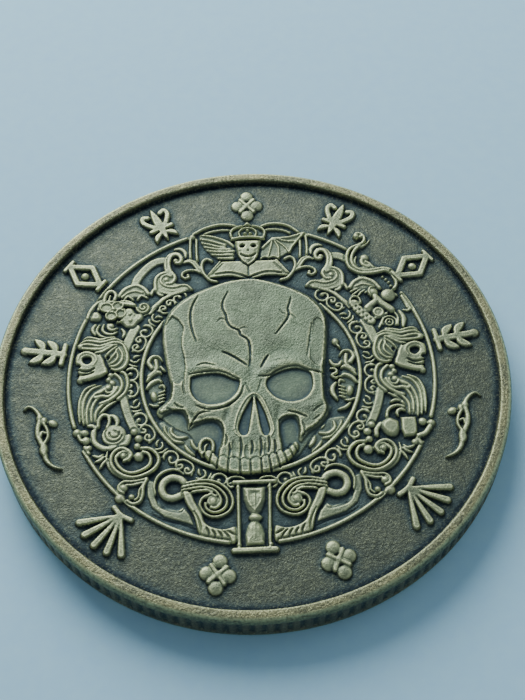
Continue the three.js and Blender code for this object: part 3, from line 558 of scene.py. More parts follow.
def draw_lower_left(die):
    """Rosebud, ribbon and beads at the lower left."""
    die.node("rosebud")
    die.ridge([(-10.9, -3.25), (-10.5, -3.35), (-10.25, -3.75), (-10.3, -4.2)], 0.46, 0.26, taper="ends")
    die.ridge([(-11.7, -4.2), (-11.65, -3.6), (-11.35, -3.2), (-10.95, -3.3), (-10.85, -3.8), (-11.0, -4.3)],
              0.34, 0.28)
    die.ridge([(-12.5, -4.1), (-12.1, -4.1), (-11.8, -4.4)], 0.4, 0.22, taper="ends")
    die.ridge([(-12.0, -4.6), (-12.0, -5.3), (-11.6, -5.8), (-11.0, -6.05), (-10.3, -6.0)], 0.5, 0.24)
    die.ridge([(-9.9, -5.9), (-9.5, -5.6), (-9.35, -5.1)], 0.5, 0.24)
    die.bead(-10.45, -4.95, 0.95, 0.34, power=0.4)
    die.groove(arc(-10.5, -4.9, 0.66, 150, 350, 16), 0.15, 0.14, taper="none")
    die.groove(arc(-10.42, -4.85, 0.38, -190, 20, 16), 0.14, 0.14, taper="none")
    die.groove([(-10.5, -4.6), (-10.25, -4.75), (-10.05, -4.95)], 0.14, 0.12)
    die.node("ribbon_left")
    die.bead(-13.25, -4.65, 0.36, 0.34)
    die.bead(-12.7, -4.7, 0.38, 0.34, long=0.32)
    die.ridge([(-13.1, -5.0), (-12.9, -5.35), (-12.5, -5.5)], 0.34, 0.32)
    die.bead(-12.55, -5.35, 0.38, 0.34)
    die.bead(-12.35, -6.0, 0.34, 0.3, long=0.26, tilt=30)
    die.ridge([(-12.6, -5.9), (-12.3, -6.4)], 0.36, 0.24)


def draw_lower_right(die):
    """The round boss, square block and beads at the lower right."""
    die.node("square_block")
    die.ridge([(10.5, -2.85), (10.9, -2.65), (11.3, -2.75)], 0.3, 0.22, taper="ends")
    die.ridge([(10.15, -4.1), (10.25, -3.6), (10.6, -3.25), (11.1, -3.15), (11.5, -3.3)], 0.3, 0.28)
    die.ridge([(11.6, -3.6), (11.2, -3.5), (10.95, -3.75), (11.0, -4.1)], 0.34, 0.26, taper="ends")
    die.ridge([(9.65, -4.7), (9.3, -5.1), (9.25, -5.6)], 0.46, 0.26)
    die.plate([(9.7, -4.5), (10.0, -4.25), (10.35, -4.1), (10.7, -4.25), (11.05, -4.5), (11.1, -5.2),
               (10.85, -5.7), (10.4, -5.85), (9.9, -5.6), (9.6, -5.1)], 0.3, edge=0.3, dome=0.05,
              smooth=True)
    die.plate([(11.15, -4.15), (12.35, -4.15), (12.4, -5.0), (12.35, -5.85), (11.3, -5.9), (11.1, -5.3)],
              0.34, edge=0.16)
    die.node("ribbon_right")
    die.bead(12.8, -4.6, 0.36, 0.32)
    die.bead(13.45, -4.75, 0.34, 0.34)
    die.ridge([(13.3, -5.1), (12.9, -5.6), (12.4, -5.8)], 0.46, 0.32)
    die.ridge([(12.3, -6.0), (12.5, -6.4)], 0.4, 0.24)
    die.bead(12.1, -6.3, 0.3, 0.26)


def draw_c_scrolls(die):
    """The large rolled scrolls, with beads above and a leaf and ring knot below."""
    for name, side in SIDES:
        die.node(f"c_scroll_{name}", side)
        for points in (
                       [(-12.0, -6.6), (-11.5, -6.75), (-11.2, -6.5)],
                       [(-11.8, -7.15), (-11.4, -7.0), (-11.1, -6.7)],
                       [(-11.4, -7.7), (-11.2, -7.3), (-10.85, -6.9)]):
            die.ridge(points, 0.3, 0.22, taper="ends")
        die.ridge([(-10.9, -6.3), (-10.95, -7.0), (-10.6, -7.8), (-9.9, -8.4), (-9.0, -8.72), (-8.2, -8.6)],
                  0.3, 0.2, taper="ends")
        die.ridge([(-8.35, -6.15), (-7.75, -6.2), (-7.25, -6.6), (-7.05, -7.2), (-7.35, -7.85), (-8.0, -8.3),
                   (-8.9, -8.55), (-9.75, -8.3), (-10.4, -7.7), (-10.62, -7.0), (-10.4, -6.4), (-9.9, -6.1),
                   (-9.4, -6.25), (-9.1, -6.65), (-9.3, -7.05)], 0.34, 0.34)
        die.ridge([(-8.25, -6.45), (-7.85, -6.6), (-7.65, -7.1), (-7.8, -7.6), (-8.4, -8.0), (-9.1, -8.15),
                   (-9.7, -7.9), (-10.15, -7.35), (-10.25, -6.85), (-10.0, -6.5)], 0.32, 0.3)
        die.ridge([(-10.1, -6.75), (-9.8, -6.4), (-9.35, -6.5), (-9.3, -6.95), (-9.65, -7.15)], 0.28, 0.3)
        die.bead(-9.68, -6.75, 0.3, 0.36)
        for x, y, radius in (
                (-8.95, -4.72, 0.31), (-8.6, -5.3, 0.34), (-8.68, -5.95, 0.3), (-8.55, -6.8, 0.42)):
            die.bead(x, y, radius, 0.32)
        die.node(f"volute_{name}", side)
        die.ridge([(-7.9, -8.6), (-8.3, -8.75), (-9.0, -8.85), (-9.6, -8.85), (-9.95, -9.15), (-9.95, -9.55),
                   (-9.6, -9.75)], 0.26, 0.26)
        die.ridge([(-8.2, -8.95), (-8.9, -9.1), (-9.4, -9.1)], 0.24, 0.22)
        die.bead(-9.6, -9.35, 0.34, 0.32)
        die.ridge([(-7.9, -8.7), (-8.15, -9.3), (-8.2, -10.0), (-8.4, -10.5), (-8.9, -10.65), (-9.3, -10.4)],
                  0.3, 0.28)
        die.ridge([(-8.2, -9.1), (-8.45, -9.6), (-8.5, -10.1), (-8.75, -10.35)], 0.2, 0.22)
        die.bead(-9.0, -10.1, 0.26, 0.3)


def draw_big_spirals(die):
    """Crescents and four-line spirals either side of the hourglass, and the leafy feet below them."""
    for name, side in SIDES:
        die.node(f"big_spiral_{name}", side)
        die.ridge([(-7.25, -10.0), (-7.35, -9.2), (-7.1, -8.5), (-6.6, -8.1), (-6.0, -7.95), (-5.5, -8.1),
                   (-5.2, -8.4)], 0.26, 0.24, taper="ends")
        die.ridge([(-5.2, -9.0), (-5.5, -8.75), (-6.1, -8.65), (-6.65, -9.0), (-6.8, -9.6), (-6.5, -10.15),
                   (-5.95, -10.3), (-5.4, -10.1)], 0.62, 0.32)
        lines = ([(-5.2, -9.2), (-4.2, -8.98), (-3.3, -8.98), (-2.45, -9.3), (-1.8, -10.0), (-1.6, -10.8),
                  (-1.85, -11.45), (-2.4, -11.8), (-3.05, -11.9), (-3.65, -11.6), (-4.0, -11.0),
                  (-3.9, -10.5), (-3.55, -10.2)],
                 [(-5.3, -9.45), (-4.2, -9.25), (-3.25, -9.3), (-2.6, -9.65), (-2.1, -10.3), (-2.05, -10.9),
                  (-2.35, -11.35), (-2.95, -11.55), (-3.5, -11.25), (-3.62, -10.8)],
                 [(-5.3, -9.72), (-4.2, -9.52), (-3.4, -9.57), (-2.85, -9.85), (-2.5, -10.4),
                  (-2.5, -10.85), (-2.85, -11.2), (-3.2, -11.15)],
                 [(-5.0, -9.98), (-4.2, -9.8), (-3.5, -9.78), (-3.1, -9.95)])
        for line in lines:
            die.ridge(line, 0.25, 0.3)
        die.ridge([(-3.6, -10.3), (-3.2, -10.1), (-2.85, -10.25)], 0.3, 0.28)
        die.bead(-3.05, -10.65, 0.48, 0.34, power=0.4)
        die.groove(arc(-3.05, -10.65, 0.28, -30, 200, 12), 0.13, 0.1, taper="none")

        die.node(f"foot_{name}", side)
        die.plate([(-5.3, -9.85), (-4.98, -10.9), (-4.45, -11.8), (-4.2, -12.9), (-3.9, -13.35),
                   (-3.3, -13.65), (-2.4, -13.9), (-1.4, -13.95), (-1.4, -12.72), (-2.2, -12.85),
                   (-3.0, -12.7), (-3.6, -12.3), (-3.85, -11.6), (-4.3, -10.7), (-4.7, -9.85)], 0.3,
                  smooth=True)
        for cut in (
                    [(-4.45, -11.4), (-4.15, -12.0), (-3.95, -12.6), (-3.95, -13.2)],
                    [(-3.55, -12.7), (-3.35, -13.15), (-3.4, -13.55)],
                    [(-3.1, -12.95), (-2.9, -13.3), (-2.95, -13.7)],
                    [(-2.7, -13.0), (-2.45, -13.35), (-2.4, -13.8)],
                    [(-2.35, -13.0), (-2.05, -13.3), (-1.8, -13.75)],
                    [(-2.1, -12.98), (-1.75, -13.2), (-1.4, -13.4)]):
            die.groove(cut, 0.17, 0.2, taper="ends")


def draw_cartouche(die):
    """The bracketed frame at the top, with the crowned skull, two unlike wings and the open book."""
    die.node("frame_left")
    die.ridge([(-4.5, 13.75), (-3.6, 14.3), (-2.6, 14.62), (-1.8, 14.65), (-1.1, 14.5), (-0.7, 14.3)], 0.3,
              0.26)
    die.ridge([(-3.6, 13.72), (-3.0, 13.95), (-2.2, 14.08), (-1.5, 14.05)], 0.24, 0.22)
    die.ridge([(-4.75, 13.3), (-4.78, 12.2), (-4.75, 11.15)], 0.26, 0.26)
    die.ridge([(-4.25, 13.2), (-4.25, 12.2), (-4.2, 11.05)], 0.24, 0.24)
    die.bead(-4.6, 13.42, 0.3, 0.32)
    die.node("frame_right")
    die.ridge([(0.95, 14.25), (1.6, 14.55), (2.3, 14.62), (3.0, 14.5), (3.6, 14.2), (4.25, 13.6)], 0.3, 0.26)
    die.ridge([(1.4, 13.98), (2.2, 14.02), (3.0, 13.86), (3.5, 13.6)], 0.24, 0.22)
    die.ridge([(4.8, 13.2), (4.85, 12.2), (4.8, 11.15)], 0.26, 0.26)
    die.ridge([(4.3, 13.0), (4.3, 12.2), (4.25, 11.1)], 0.24, 0.24)
    die.bead(4.62, 13.42, 0.3, 0.32)

    die.node("open_book")
    die.plate([(-3.5, 9.35), (-2.15, 10.9), (2.2, 10.92), (3.55, 9.4), (1.6, 9.5), (0, 9.2), (-1.6, 9.45)],
              0.22, edge=0.12)
    for side in (1, -1):
        die.node("open_book", side)
        die.groove([(-2.95, 9.55), (-2.1, 10.6)], 0.12, 0.12, taper="none")
        die.ridge([(-3.4, 9.35), (-2.3, 10.85)], 0.2, 0.28)
        die.ridge([(-2.7, 9.72), (-1.6, 9.85), (-0.7, 9.65), (-0.08, 9.35)], 0.16, 0.3)
        die.groove([(-2.7, 9.55), (-1.6, 9.66), (-0.7, 9.46), (-0.1, 9.2)], 0.1, 0.12, taper="none")
        die.ridge([(-3.3, 9.32), (-1.6, 9.46), (-0.7, 9.26), (-0.05, 9.08)], 0.2, 0.26)
    die.groove([(0, 9.3), (0, 10.85)], 0.14, 0.12, taper="none")

    die.node("feathered_wing")
    die.plate([(-4.05, 13.75), (-3.3, 13.62), (-2.0, 13.2), (-1.15, 12.6), (-0.95, 12.0), (-0.95, 11.2),
               (-1.8, 10.98), (-2.5, 11.1), (-3.0, 11.5), (-3.5, 12.0), (-3.8, 12.6), (-4.05, 13.2)], 0.1,
              edge=0.1)
    for points in ([(-3.9, 13.6), (-3.2, 13.48), (-2.5, 13.25), (-1.7, 12.85), (-1.15, 12.35)],
                   [(-3.95, 13.2), (-3.2, 13.02), (-2.5, 12.75), (-1.9, 12.5)],
                   [(-3.8, 12.8), (-3.2, 12.62), (-2.6, 12.4), (-1.9, 12.2)],
                   [(-3.6, 12.4), (-3.0, 12.22), (-2.3, 12.05), (-1.5, 12.05)],
                   [(-3.35, 12.0), (-2.6, 11.85), (-1.8, 11.78), (-1.15, 11.85)],
                   [(-3.0, 11.6), (-2.2, 11.5), (-1.3, 11.5)], [(-2.5, 11.2), (-1.9, 11.15), (-1.3, 11.15)]):
        die.ridge(points, 0.36, 0.27, taper="start")

    die.node("bat_wing")
    die.plate([(1.15, 12.1), (2.0, 13.05), (3.4, 13.1), (4.65, 13.55), (4.75, 13.35), (4.0, 12.65),
               (3.6, 12.1), (3.4, 11.6), (2.9, 11.3), (2.5, 10.98), (1.7, 11.1), (1.0, 10.98), (0.95, 11.5)],
              0.12, edge=0.1)
    for points, width in (
            ([(1.2, 12.1), (2.05, 13.05)], 0.28), ([(2.05, 13.05), (3.4, 13.12), (4.65, 13.52)], 0.28),
            ([(4.65, 13.5), (4.1, 12.8), (3.6, 12.1), (3.4, 11.6)], 0.22),
            ([(2.05, 12.95), (1.85, 12.1), (1.6, 11.1)], 0.16),
            ([(2.1, 12.95), (2.5, 12.1), (2.5, 11.05)], 0.16),
            ([(2.2, 12.95), (3.0, 12.2), (3.35, 11.6)], 0.16),
            ([(2.3, 13.0), (3.2, 12.75), (4.0, 12.7)], 0.16),
            ([(1.0, 11.0), (1.35, 11.25), (1.65, 11.1)], 0.16),
            ([(1.7, 11.1), (2.1, 11.25), (2.5, 11.0)], 0.16)):
        die.ridge(points, width, 0.27)

    die.node("crowned_skull")
    die.plate([(-1.15, 12.95), (-1.08, 12.2), (-0.98, 11.6), (-0.75, 11.1), (-0.35, 10.62), (0, 10.4),
               (0.4, 10.65), (0.75, 11.12), (0.98, 11.7), (1.08, 12.3), (1.15, 12.95)], 0.28, edge=0.2,
              dome=0.1)
    for side in (1, -1):
        die.node("crowned_skull", side)
        die.hollow([(-0.75, 12.25), (-0.5, 12.5), (-0.2, 12.35), (-0.3, 12.1), (-0.55, 12.05)], 0.08,
                   lip=0.12)
        die.ridge([(-1.35, 13.3), (-1.42, 13.7), (-1.25, 14.05), (-0.85, 14.3), (-0.45, 14.4)], 0.26, 0.32)
        die.ridge([(-1.3, 13.05), (-0.6, 13.2), (0, 13.24)], 0.3, 0.36)
        die.ridge([(-0.75, 11.4), (-0.45, 10.85), (0, 10.45)], 0.16, 0.36)
        die.groove([(-0.6, 11.45), (-0.3, 11.25), (0, 11.18)], 0.16, 0.2, taper="none")
        die.bead(-1.2, 13.1, 0.2, 0.38)
    die.node("crowned_skull")
    die.plate([(-1.25, 13.2), (-1.3, 13.7), (-0.9, 14.2), (0, 14.4), (0.9, 14.2), (1.3, 13.7), (1.25, 13.2)],
              0.08)
    die.ridge([(-0.62, 13.3), (-0.72, 13.75), (-0.45, 14.1), (0, 14.22), (0.45, 14.1), (0.72, 13.75),
               (0.62, 13.3)], 0.17, 0.32)
    for x, y in ((-0.22, 13.62), (0.22, 13.62), (0, 13.95)):
        die.bead(x, y, 0.17, 0.34)
    die.plate([(-0.5, 14.42), (-0.02, 14.98), (0.5, 14.42)], 0.3, edge=0.2)
    die.hollow([(-0.12, 11.7), (0.02, 11.95), (0.14, 11.7)], 0.12, lip=0.08, smooth=False)

    for name, side in SIDES:
        die.node(f"tendril_{name}", side)
        die.ridge([(-5.4, 10.8), (-4.95, 11.02), (-4.5, 10.85), (-4.2, 10.4), (-3.95, 9.95), (-3.6, 9.55)],
                  0.5, 0.26, split_section, taper="leaf")
        die.ridge([(-3.95, 9.85), (-4.4, 10.05), (-4.9, 10.08), (-5.35, 9.85), (-5.42, 9.5), (-5.15, 9.28),
                   (-4.85, 9.4)], 0.26, 0.26)
        die.bead(-4.95, 9.6, 0.17, 0.26)
        die.ridge([(-3.0, 10.95), (-3.4, 11.12), (-3.72, 10.9), (-3.82, 10.4), (-3.72, 9.9), (-3.5, 9.45),
                   (-3.1, 9.0), (-2.6, 8.85)], 0.3, 0.28)


def draw_hourglass(die):
    """The hourglass at the foot of the design: two bars, two posts, and bulbs with sand."""
    die.node("hourglass")
    die.ridge([(-1.2, -9.4), (-1.2, -14.4)], 0.3, 0.28)
    die.ridge([(1.12, -9.4), (1.0, -14.4)], 0.28, 0.28)
    die.plate([(-0.95, -9.5), (0.9, -9.5), (0.8, -10.7), (0.5, -11.5), (0.2, -11.9), (-0.3, -11.9),
               (-0.6, -11.4), (-0.88, -10.6)], 0.2, edge=0.3, dome=0.06)
    die.plate([(-0.3, -12.2), (0.2, -12.2), (0.5, -12.6), (0.72, -13.3), (0.7, -14.3), (-0.8, -14.3),
               (-0.82, -13.4), (-0.6, -12.6)], 0.2, edge=0.3, dome=0.06)
    die.swell([(0, -9.95), (0, -10.3)], 0.9, -0.12)
    die.ridge([(-0.5, -10.0), (-0.45, -10.8), (-0.1, -11.4)], 0.13, 0.3)
    die.ridge([(0.45, -10.0), (0.4, -10.8), (0.05, -11.4)], 0.13, 0.3)
    die.ridge([(-0.02, -10.2), (-0.02, -11.5)], 0.2, 0.3)
    die.bead(0, -12.05, 0.52, 0.38, long=0.34)
    die.ridge([(-0.05, -12.5), (-0.05, -13.2), (-0.1, -13.7)], 0.16, 0.3)
    die.ridge([(-0.55, -14.0), (-0.35, -13.6), (-0.05, -13.35), (0.25, -13.6), (0.5, -14.0)], 0.2, 0.28)
    die.ridge([(-1.5, -9.22), (1.5, -9.2)], 0.36, 0.34, flat_section)
    die.ridge([(-1.55, -14.58), (1.42, -14.55)], 0.5, 0.34, flat_section)
    for x in (-1.2, 1.08):
        die.bead(x, -9.62, 0.2, 0.32)
        die.bead(x, -14.15, 0.2, 0.32)


def draw_foliage(die):
    """Curled leaves that fill the ground between the inner line and the skull."""
    for name, side in SIDES:
        die.node(f"leaf_lower_{name}", side)
        die.plate([(-7.0, -3.9), (-5.2, -4.2), (-4.7, -5.2), (-4.2, -6.4), (-4.7, -6.9), (-5.9, -6.0),
                   (-6.8, -5.0)], 0.08, smooth=True)
        for points, width in (([(-6.1, -4.3), (-6.15, -4.9), (-5.65, -5.35), (-4.95, -5.3)], 0.36),
                              ([(-6.7, -4.3), (-6.5, -5.0), (-5.95, -5.6), (-5.2, -5.75)], 0.36),
                              ([(-5.4, -4.3), (-5.2, -4.75), (-4.8, -4.85)], 0.3),
                              ([(-4.5, -5.3), (-4.5, -5.9), (-4.2, -6.4)], 0.44),
                              ([(-5.1, -6.0), (-4.8, -6.5), (-4.35, -6.9)], 0.32),
                              ([(-7.3, -3.9), (-7.2, -4.6), (-6.9, -5.05)], 0.3)):
            die.ridge(points, width, 0.26, taper="ends")
    for side in (1, -1):
        die.node("inner_line", side)
        die.plate([(-7.9, 1.7), (-7.3, 2.0), (-6.95, 1.4), (-7.0, 0.4), (-6.9, -0.4), (-6.8, -2.3),
                   (-7.5, -2.4), (-8.0, -1.2), (-8.15, 0.2), (-7.9, 0.9)], 0.08, smooth=True)
        die.ridge([(-7.7, 0.85), (-7.98, 1.35), (-7.7, 1.85), (-7.2, 1.85), (-6.9, 1.45)], 0.46, 0.3,
                  taper="end")
        die.ridge([(-7.05, 1.0), (-6.85, 0.7), (-6.65, 0.5)], 0.3, 0.26, taper="ends")
        die.ridge([(-7.42, 1.5), (-7.35, 1.0), (-7.4, 0.6), (-7.9, 0.1)], 0.4, 0.3)
        die.ridge([(-8.1, -0.35), (-7.7, 0.2), (-7.2, 0.45), (-6.95, 0.3)], 0.42, 0.28, taper="ends")
        die.ridge([(-8.1, -1.05), (-7.75, -0.55), (-7.2, -0.28), (-6.9, -0.45)], 0.42, 0.3, taper="ends")
        die.bead(-7.5, -1.7, 0.26, 0.34, long=0.46, tilt=12, power=0.35)
        die.ridge([(-7.15, -0.85), (-6.8, -0.75), (-6.7, -1.1)], 0.26, 0.26, taper="ends")
        for y in (-1.3, -1.6, -1.9, -2.2):
            die.ridge([(-7.12, y - 0.1), (-6.7, y + 0.06)], 0.18, 0.24)
        die.ridge([(-7.85, -2.35), (-7.45, -2.55), (-7.1, -2.5)], 0.26, 0.24, taper="ends")
    die.node("inner_line", -1)
    for points, width in (
            ([(-6.1, 1.1), (-6.35, 0.65), (-6.8, 0.6), (-7.0, 0.85)], 0.36),
            ([(-7.0, 2.1), (-6.75, 2.5)], 0.26),
            ([(-6.1, 0.3), (-6.5, 0.25), (-6.6, -0.05), (-6.2, -0.3), (-6.45, -0.55), (-6.8, -0.4)], 0.28),
            ([(-6.5, -0.95), (-6.2, -1.4), (-6.2, -1.9), (-6.5, -2.5)], 0.46),
            ([(-6.5, -3.35), (-7.1, -3.15), (-7.5, -2.75)], 0.32)):
        die.ridge(points, width, 0.28, taper="ends")
    die.bead(-6.65, 2.75, 0.3, 0.32, long=0.36)


def draw_teeth(die):
    """The worn upper teeth grow straight out of the jaw, and the gum loops over the left molars."""
    die.node("tooth_row")
    die.moat = 0
    die.ridge([(-3.75, -6.95), (-4.0, -6.4), (-3.92, -5.85), (-3.55, -5.55), (-3.15, -5.7), (-3.0, -6.1),
               (-3.05, -6.6)], 0.36, 0.36)
    die.ridge([(-3.65, -6.7), (-3.6, -6.2), (-3.4, -5.95)], 0.24, 0.3, taper="ends")
    die.plate([(-3.9, -6.6), (-3.1, -6.5), (-2.6, -7.1), (-1.8, -7.25), (-0.9, -7.4), (0, -7.45),
               (0.9, -7.3), (1.6, -7.0), (2.2, -6.75), (2.7, -6.4), (3.15, -5.95), (3.45, -6.4),
               (3.1, -7.1), (2.5, -7.7), (1.8, -8.15), (1.0, -8.48), (0.1, -8.62), (-0.9, -8.62),
               (-1.8, -8.48), (-2.5, -8.2), (-3.1, -7.75), (-3.6, -7.2)], 0.36, edge=0.14, dome=0.08,
              smooth=True)
    gaps = (((-3.45, -6.5), (-3.75, -7.0)), ((-3.05, -6.75), (-3.3, -7.5)), ((-2.6, -7.15), (-2.75, -8.0)),
            ((-1.85, -7.3), (-1.95, -8.4)), ((-1.0, -7.45), (-1.0, -8.6)), ((-0.25, -7.5), (-0.22, -8.6)),
            ((0.55, -7.4), (0.6, -8.55)), ((1.15, -7.2), (1.3, -8.4)), ((1.7, -7.0), (1.95, -8.1)),
            ((2.2, -6.8), (2.5, -7.7)), ((2.6, -6.5), (2.95, -7.2)), ((2.95, -6.2), (3.25, -6.8)))
    for head, foot in gaps:
        die.groove([head, foot], 0.18, 0.2, taper="start")
    for (left, _), (right, _) in zip(gaps, gaps[1:]):
        middle = ((left[0] + right[0]) / 2, (left[1] + right[1]) / 2 + 0.16)
        die.groove([left, middle, right], 0.14, 0.07, taper="none")
    die.moat = CUT_LINE


def draw_skull(die):
    """The large skull: brow, sockets, nose opening, cheek bones, jaw and cracks, then its teeth."""
    die.node("skull")
    die.plate([(-6.9, -3.4), (-5.0, -2.6), (5.0, -2.6), (5.7, -3.9), (4.7, -5.3), (3.9, -6.4), (2.9, -7.4),
               (0, -8.0), (-2.9, -7.5), (-4.1, -6.3), (-4.8, -5.2), (-6.0, -4.5)], 0.1, smooth=True)
    outline = [(0, 9.12), (-1.6, 8.95), (-3.0, 8.5), (-4.5, 7.8), (-5.5, 7.12), (-6.3, 6.3), (-6.8, 5.3),
               (-7.0, 4.2), (-6.95, 3.0), (-6.75, 1.5), (-6.5, 0.2), (-6.3, -0.8), (-6.4, -1.8),
               (-6.75, -2.3), (-7.25, -2.8), (-7.3, -3.3), (-6.95, -3.65), (-6.5, -3.4), (-5.9, -3.2),
               (-5.4, -3.35), (-5.1, -3.9), (-4.9, -4.75), (-4.3, -4.45), (-3.3, -4.15), (-2.7, -4.35),
               (-2.4, -5.0), (-2.5, -5.8), (-2.75, -6.6), (-2.7, -7.6), (-1.3, -8.0), (0.1, -8.1),
               (1.3, -7.9), (2.3, -7.3), (2.3, -6.2), (2.15, -4.9), (2.3, -4.3), (2.9, -4.0), (3.25, -4.3),
               (3.35, -5.0), (3.3, -5.8), (3.6, -6.1), (3.95, -5.7), (4.3, -5.3), (4.9, -4.9), (5.4, -4.4),
               (5.8, -3.7), (5.85, -2.9), (5.65, -2.0), (5.7, -0.3), (5.95, 1.9), (6.15, 4.0), (6.1, 5.2),
               (5.65, 6.3), (4.85, 7.2), (3.8, 7.9), (2.5, 8.5), (1.2, 8.95)]
    path = smooth_path(outline, True)
    window, depth = die.inside_distance(path, die.moat + PITCH)
    deep = np.clip(depth, 0, None)
    die.stamp(window, depth, 0.2 * np.clip(deep / 0.16, 0, 1) ** 0.6 + 0.22 * (1 - np.exp(-deep / 0.8)))

    # the temples lie lower than the forehead
    die.hollow([(-5.0, 0.2), (-5.05, 1.6), (-5.3, 3.0), (-5.15, 4.4), (-5.6, 5.3), (-6.3, 5.6), (-6.9, 4.6),
                (-7.0, 3.0), (-6.8, 1.2), (-6.4, -0.4), (-5.7, -0.9), (-5.2, -0.6)], 0.29, lip=0.5)
    die.hollow([(5.0, 4.9), (4.75, 3.8), (4.5, 2.4), (4.55, 0.9), (5.3, 0.4), (5.9, 1.6), (6.1, 3.6),
                (5.7, 4.9)], 0.34, lip=0.5)

    # brows, cheeks and the slope under the sockets
    for points, width, rise in (
            ([(-6.2, -2.4), (-5.4, -2.8), (-4.6, -3.2), (-3.6, -3.5)], 0.8, 0.05),
            ([(5.5, -2.3), (4.8, -2.9), (3.8, -3.2)], 0.8, 0.05),
            ([(-0.1, 1.3), (0.0, 0.3), (0.0, -0.5)], 0.7, -0.07),
            ([(-3.6, 2.0), (-2.0, 2.0), (-0.6, 1.2)], 1.5, -0.07),
            ([(1.0, 1.5), (2.4, 2.0), (3.8, 1.9)], 1.5, -0.07),
            ([(-1.7, -2.6), (-1.9, -3.4), (-2.1, -4.2)], 0.6, -0.1),
            ([(1.9, -2.9), (2.0, -3.5), (1.9, -4.3)], 0.6, -0.09),
            ([(-4.9, -3.3), (-4.4, -3.8), (-3.6, -3.9)], 0.5, -0.06),
            ([(-2.0, -6.6), (0, -6.8), (2.0, -6.6)], 0.8, -0.05), ([(-0.4, 6.6), (-1.2, 8.0)], 1.8, 0.03)):
        die.swell(points, width, rise)
    for points in ([(-4.9, 0.35), (-4.2, 0.6), (-3.3, 0.66), (-2.4, 0.42), (-1.6, 0.05), (-1.0, -0.25)],
                   [(0.7, -0.1), (1.3, 0.25), (2.0, 0.6), (2.9, 0.85), (3.8, 0.75), (4.8, 0.35)]):
        die.swell(points, 1.2, 0.15)

    # eye sockets with flat floors, sharp under the brow, and a raised lip along the foot
    left_socket = [(-4.75, -0.75), (-4.7, -0.2), (-4.3, 0.0), (-3.6, 0.12), (-2.9, 0.16), (-2.2, 0.02),
                   (-1.5, -0.34), (-0.9, -0.6), (-0.95, -1.2), (-1.25, -1.85), (-1.95, -2.45), (-3.0, -2.7),
                   (-3.9, -2.5), (-4.5, -1.95), (-4.75, -1.3)]
    right_socket = [(1.1, -0.75), (1.3, -0.4), (1.9, 0.0), (2.6, 0.28), (3.4, 0.4), (4.1, 0.22),
                    (4.6, -0.1), (4.75, -0.9), (4.6, -1.7), (4.1, -2.35), (3.3, -2.65), (2.5, -2.58),
                    (1.75, -2.2), (1.25, -1.6), (1.08, -1.1)]
    die.hollow(left_socket, 0.2, lip=0.1)
    die.hollow(right_socket, 0.2, lip=0.1)
    die.ridge([(-4.4, -2.25), (-3.9, -2.62), (-3.0, -2.84), (-2.0, -2.62), (-1.25, -2.1), (-0.85, -1.4),
               (-0.78, -0.8)], 0.17, 0.48, taper="ends")
    die.groove([(-4.3, -2.7), (-3.4, -3.08), (-2.3, -2.98), (-1.4, -2.5), (-0.85, -1.85), (-0.62, -1.1)],
               0.17, 0.17)
    for points in (
                   [(-4.8, 0.02), (-3.9, 0.18), (-2.9, 0.24), (-2.1, 0.08), (-1.4, -0.3), (-0.85, -0.55)],
                   [(0.55, -0.35), (1.3, -0.3), (2.0, 0.12), (2.8, 0.42), (3.6, 0.46), (4.4, 0.12),
                    (5.2, -0.1)]):
        die.groove(points, 0.18, 0.16)

    # the nose: two tall openings either side of a widening septum, inside a raised rim
    die.ridge([(-1.0, -5.55), (-1.36, -5.05), (-1.3, -4.2), (-0.98, -3.2), (-0.45, -2.25), (0.15, -1.85),
               (0.7, -2.25), (1.12, -3.2), (1.42, -4.2), (1.56, -5.0), (1.35, -5.55)], 0.3, 0.5, taper="ends")
    for nostril in (
                    [(0.06, -2.08), (-0.34, -2.65), (-0.78, -3.55), (-1.08, -4.4), (-1.1, -5.0),
                     (-0.8, -5.42), (-0.4, -5.3), (-0.22, -4.6), (-0.06, -3.6), (0.08, -2.6)],
                    [(0.26, -2.08), (0.62, -2.6), (0.95, -3.4), (1.2, -4.3), (1.32, -5.0), (1.12, -5.46),
                     (0.76, -5.38), (0.56, -4.7), (0.42, -3.7), (0.28, -2.7)]):
        die.hollow(nostril, 0.16, lip=0.08)

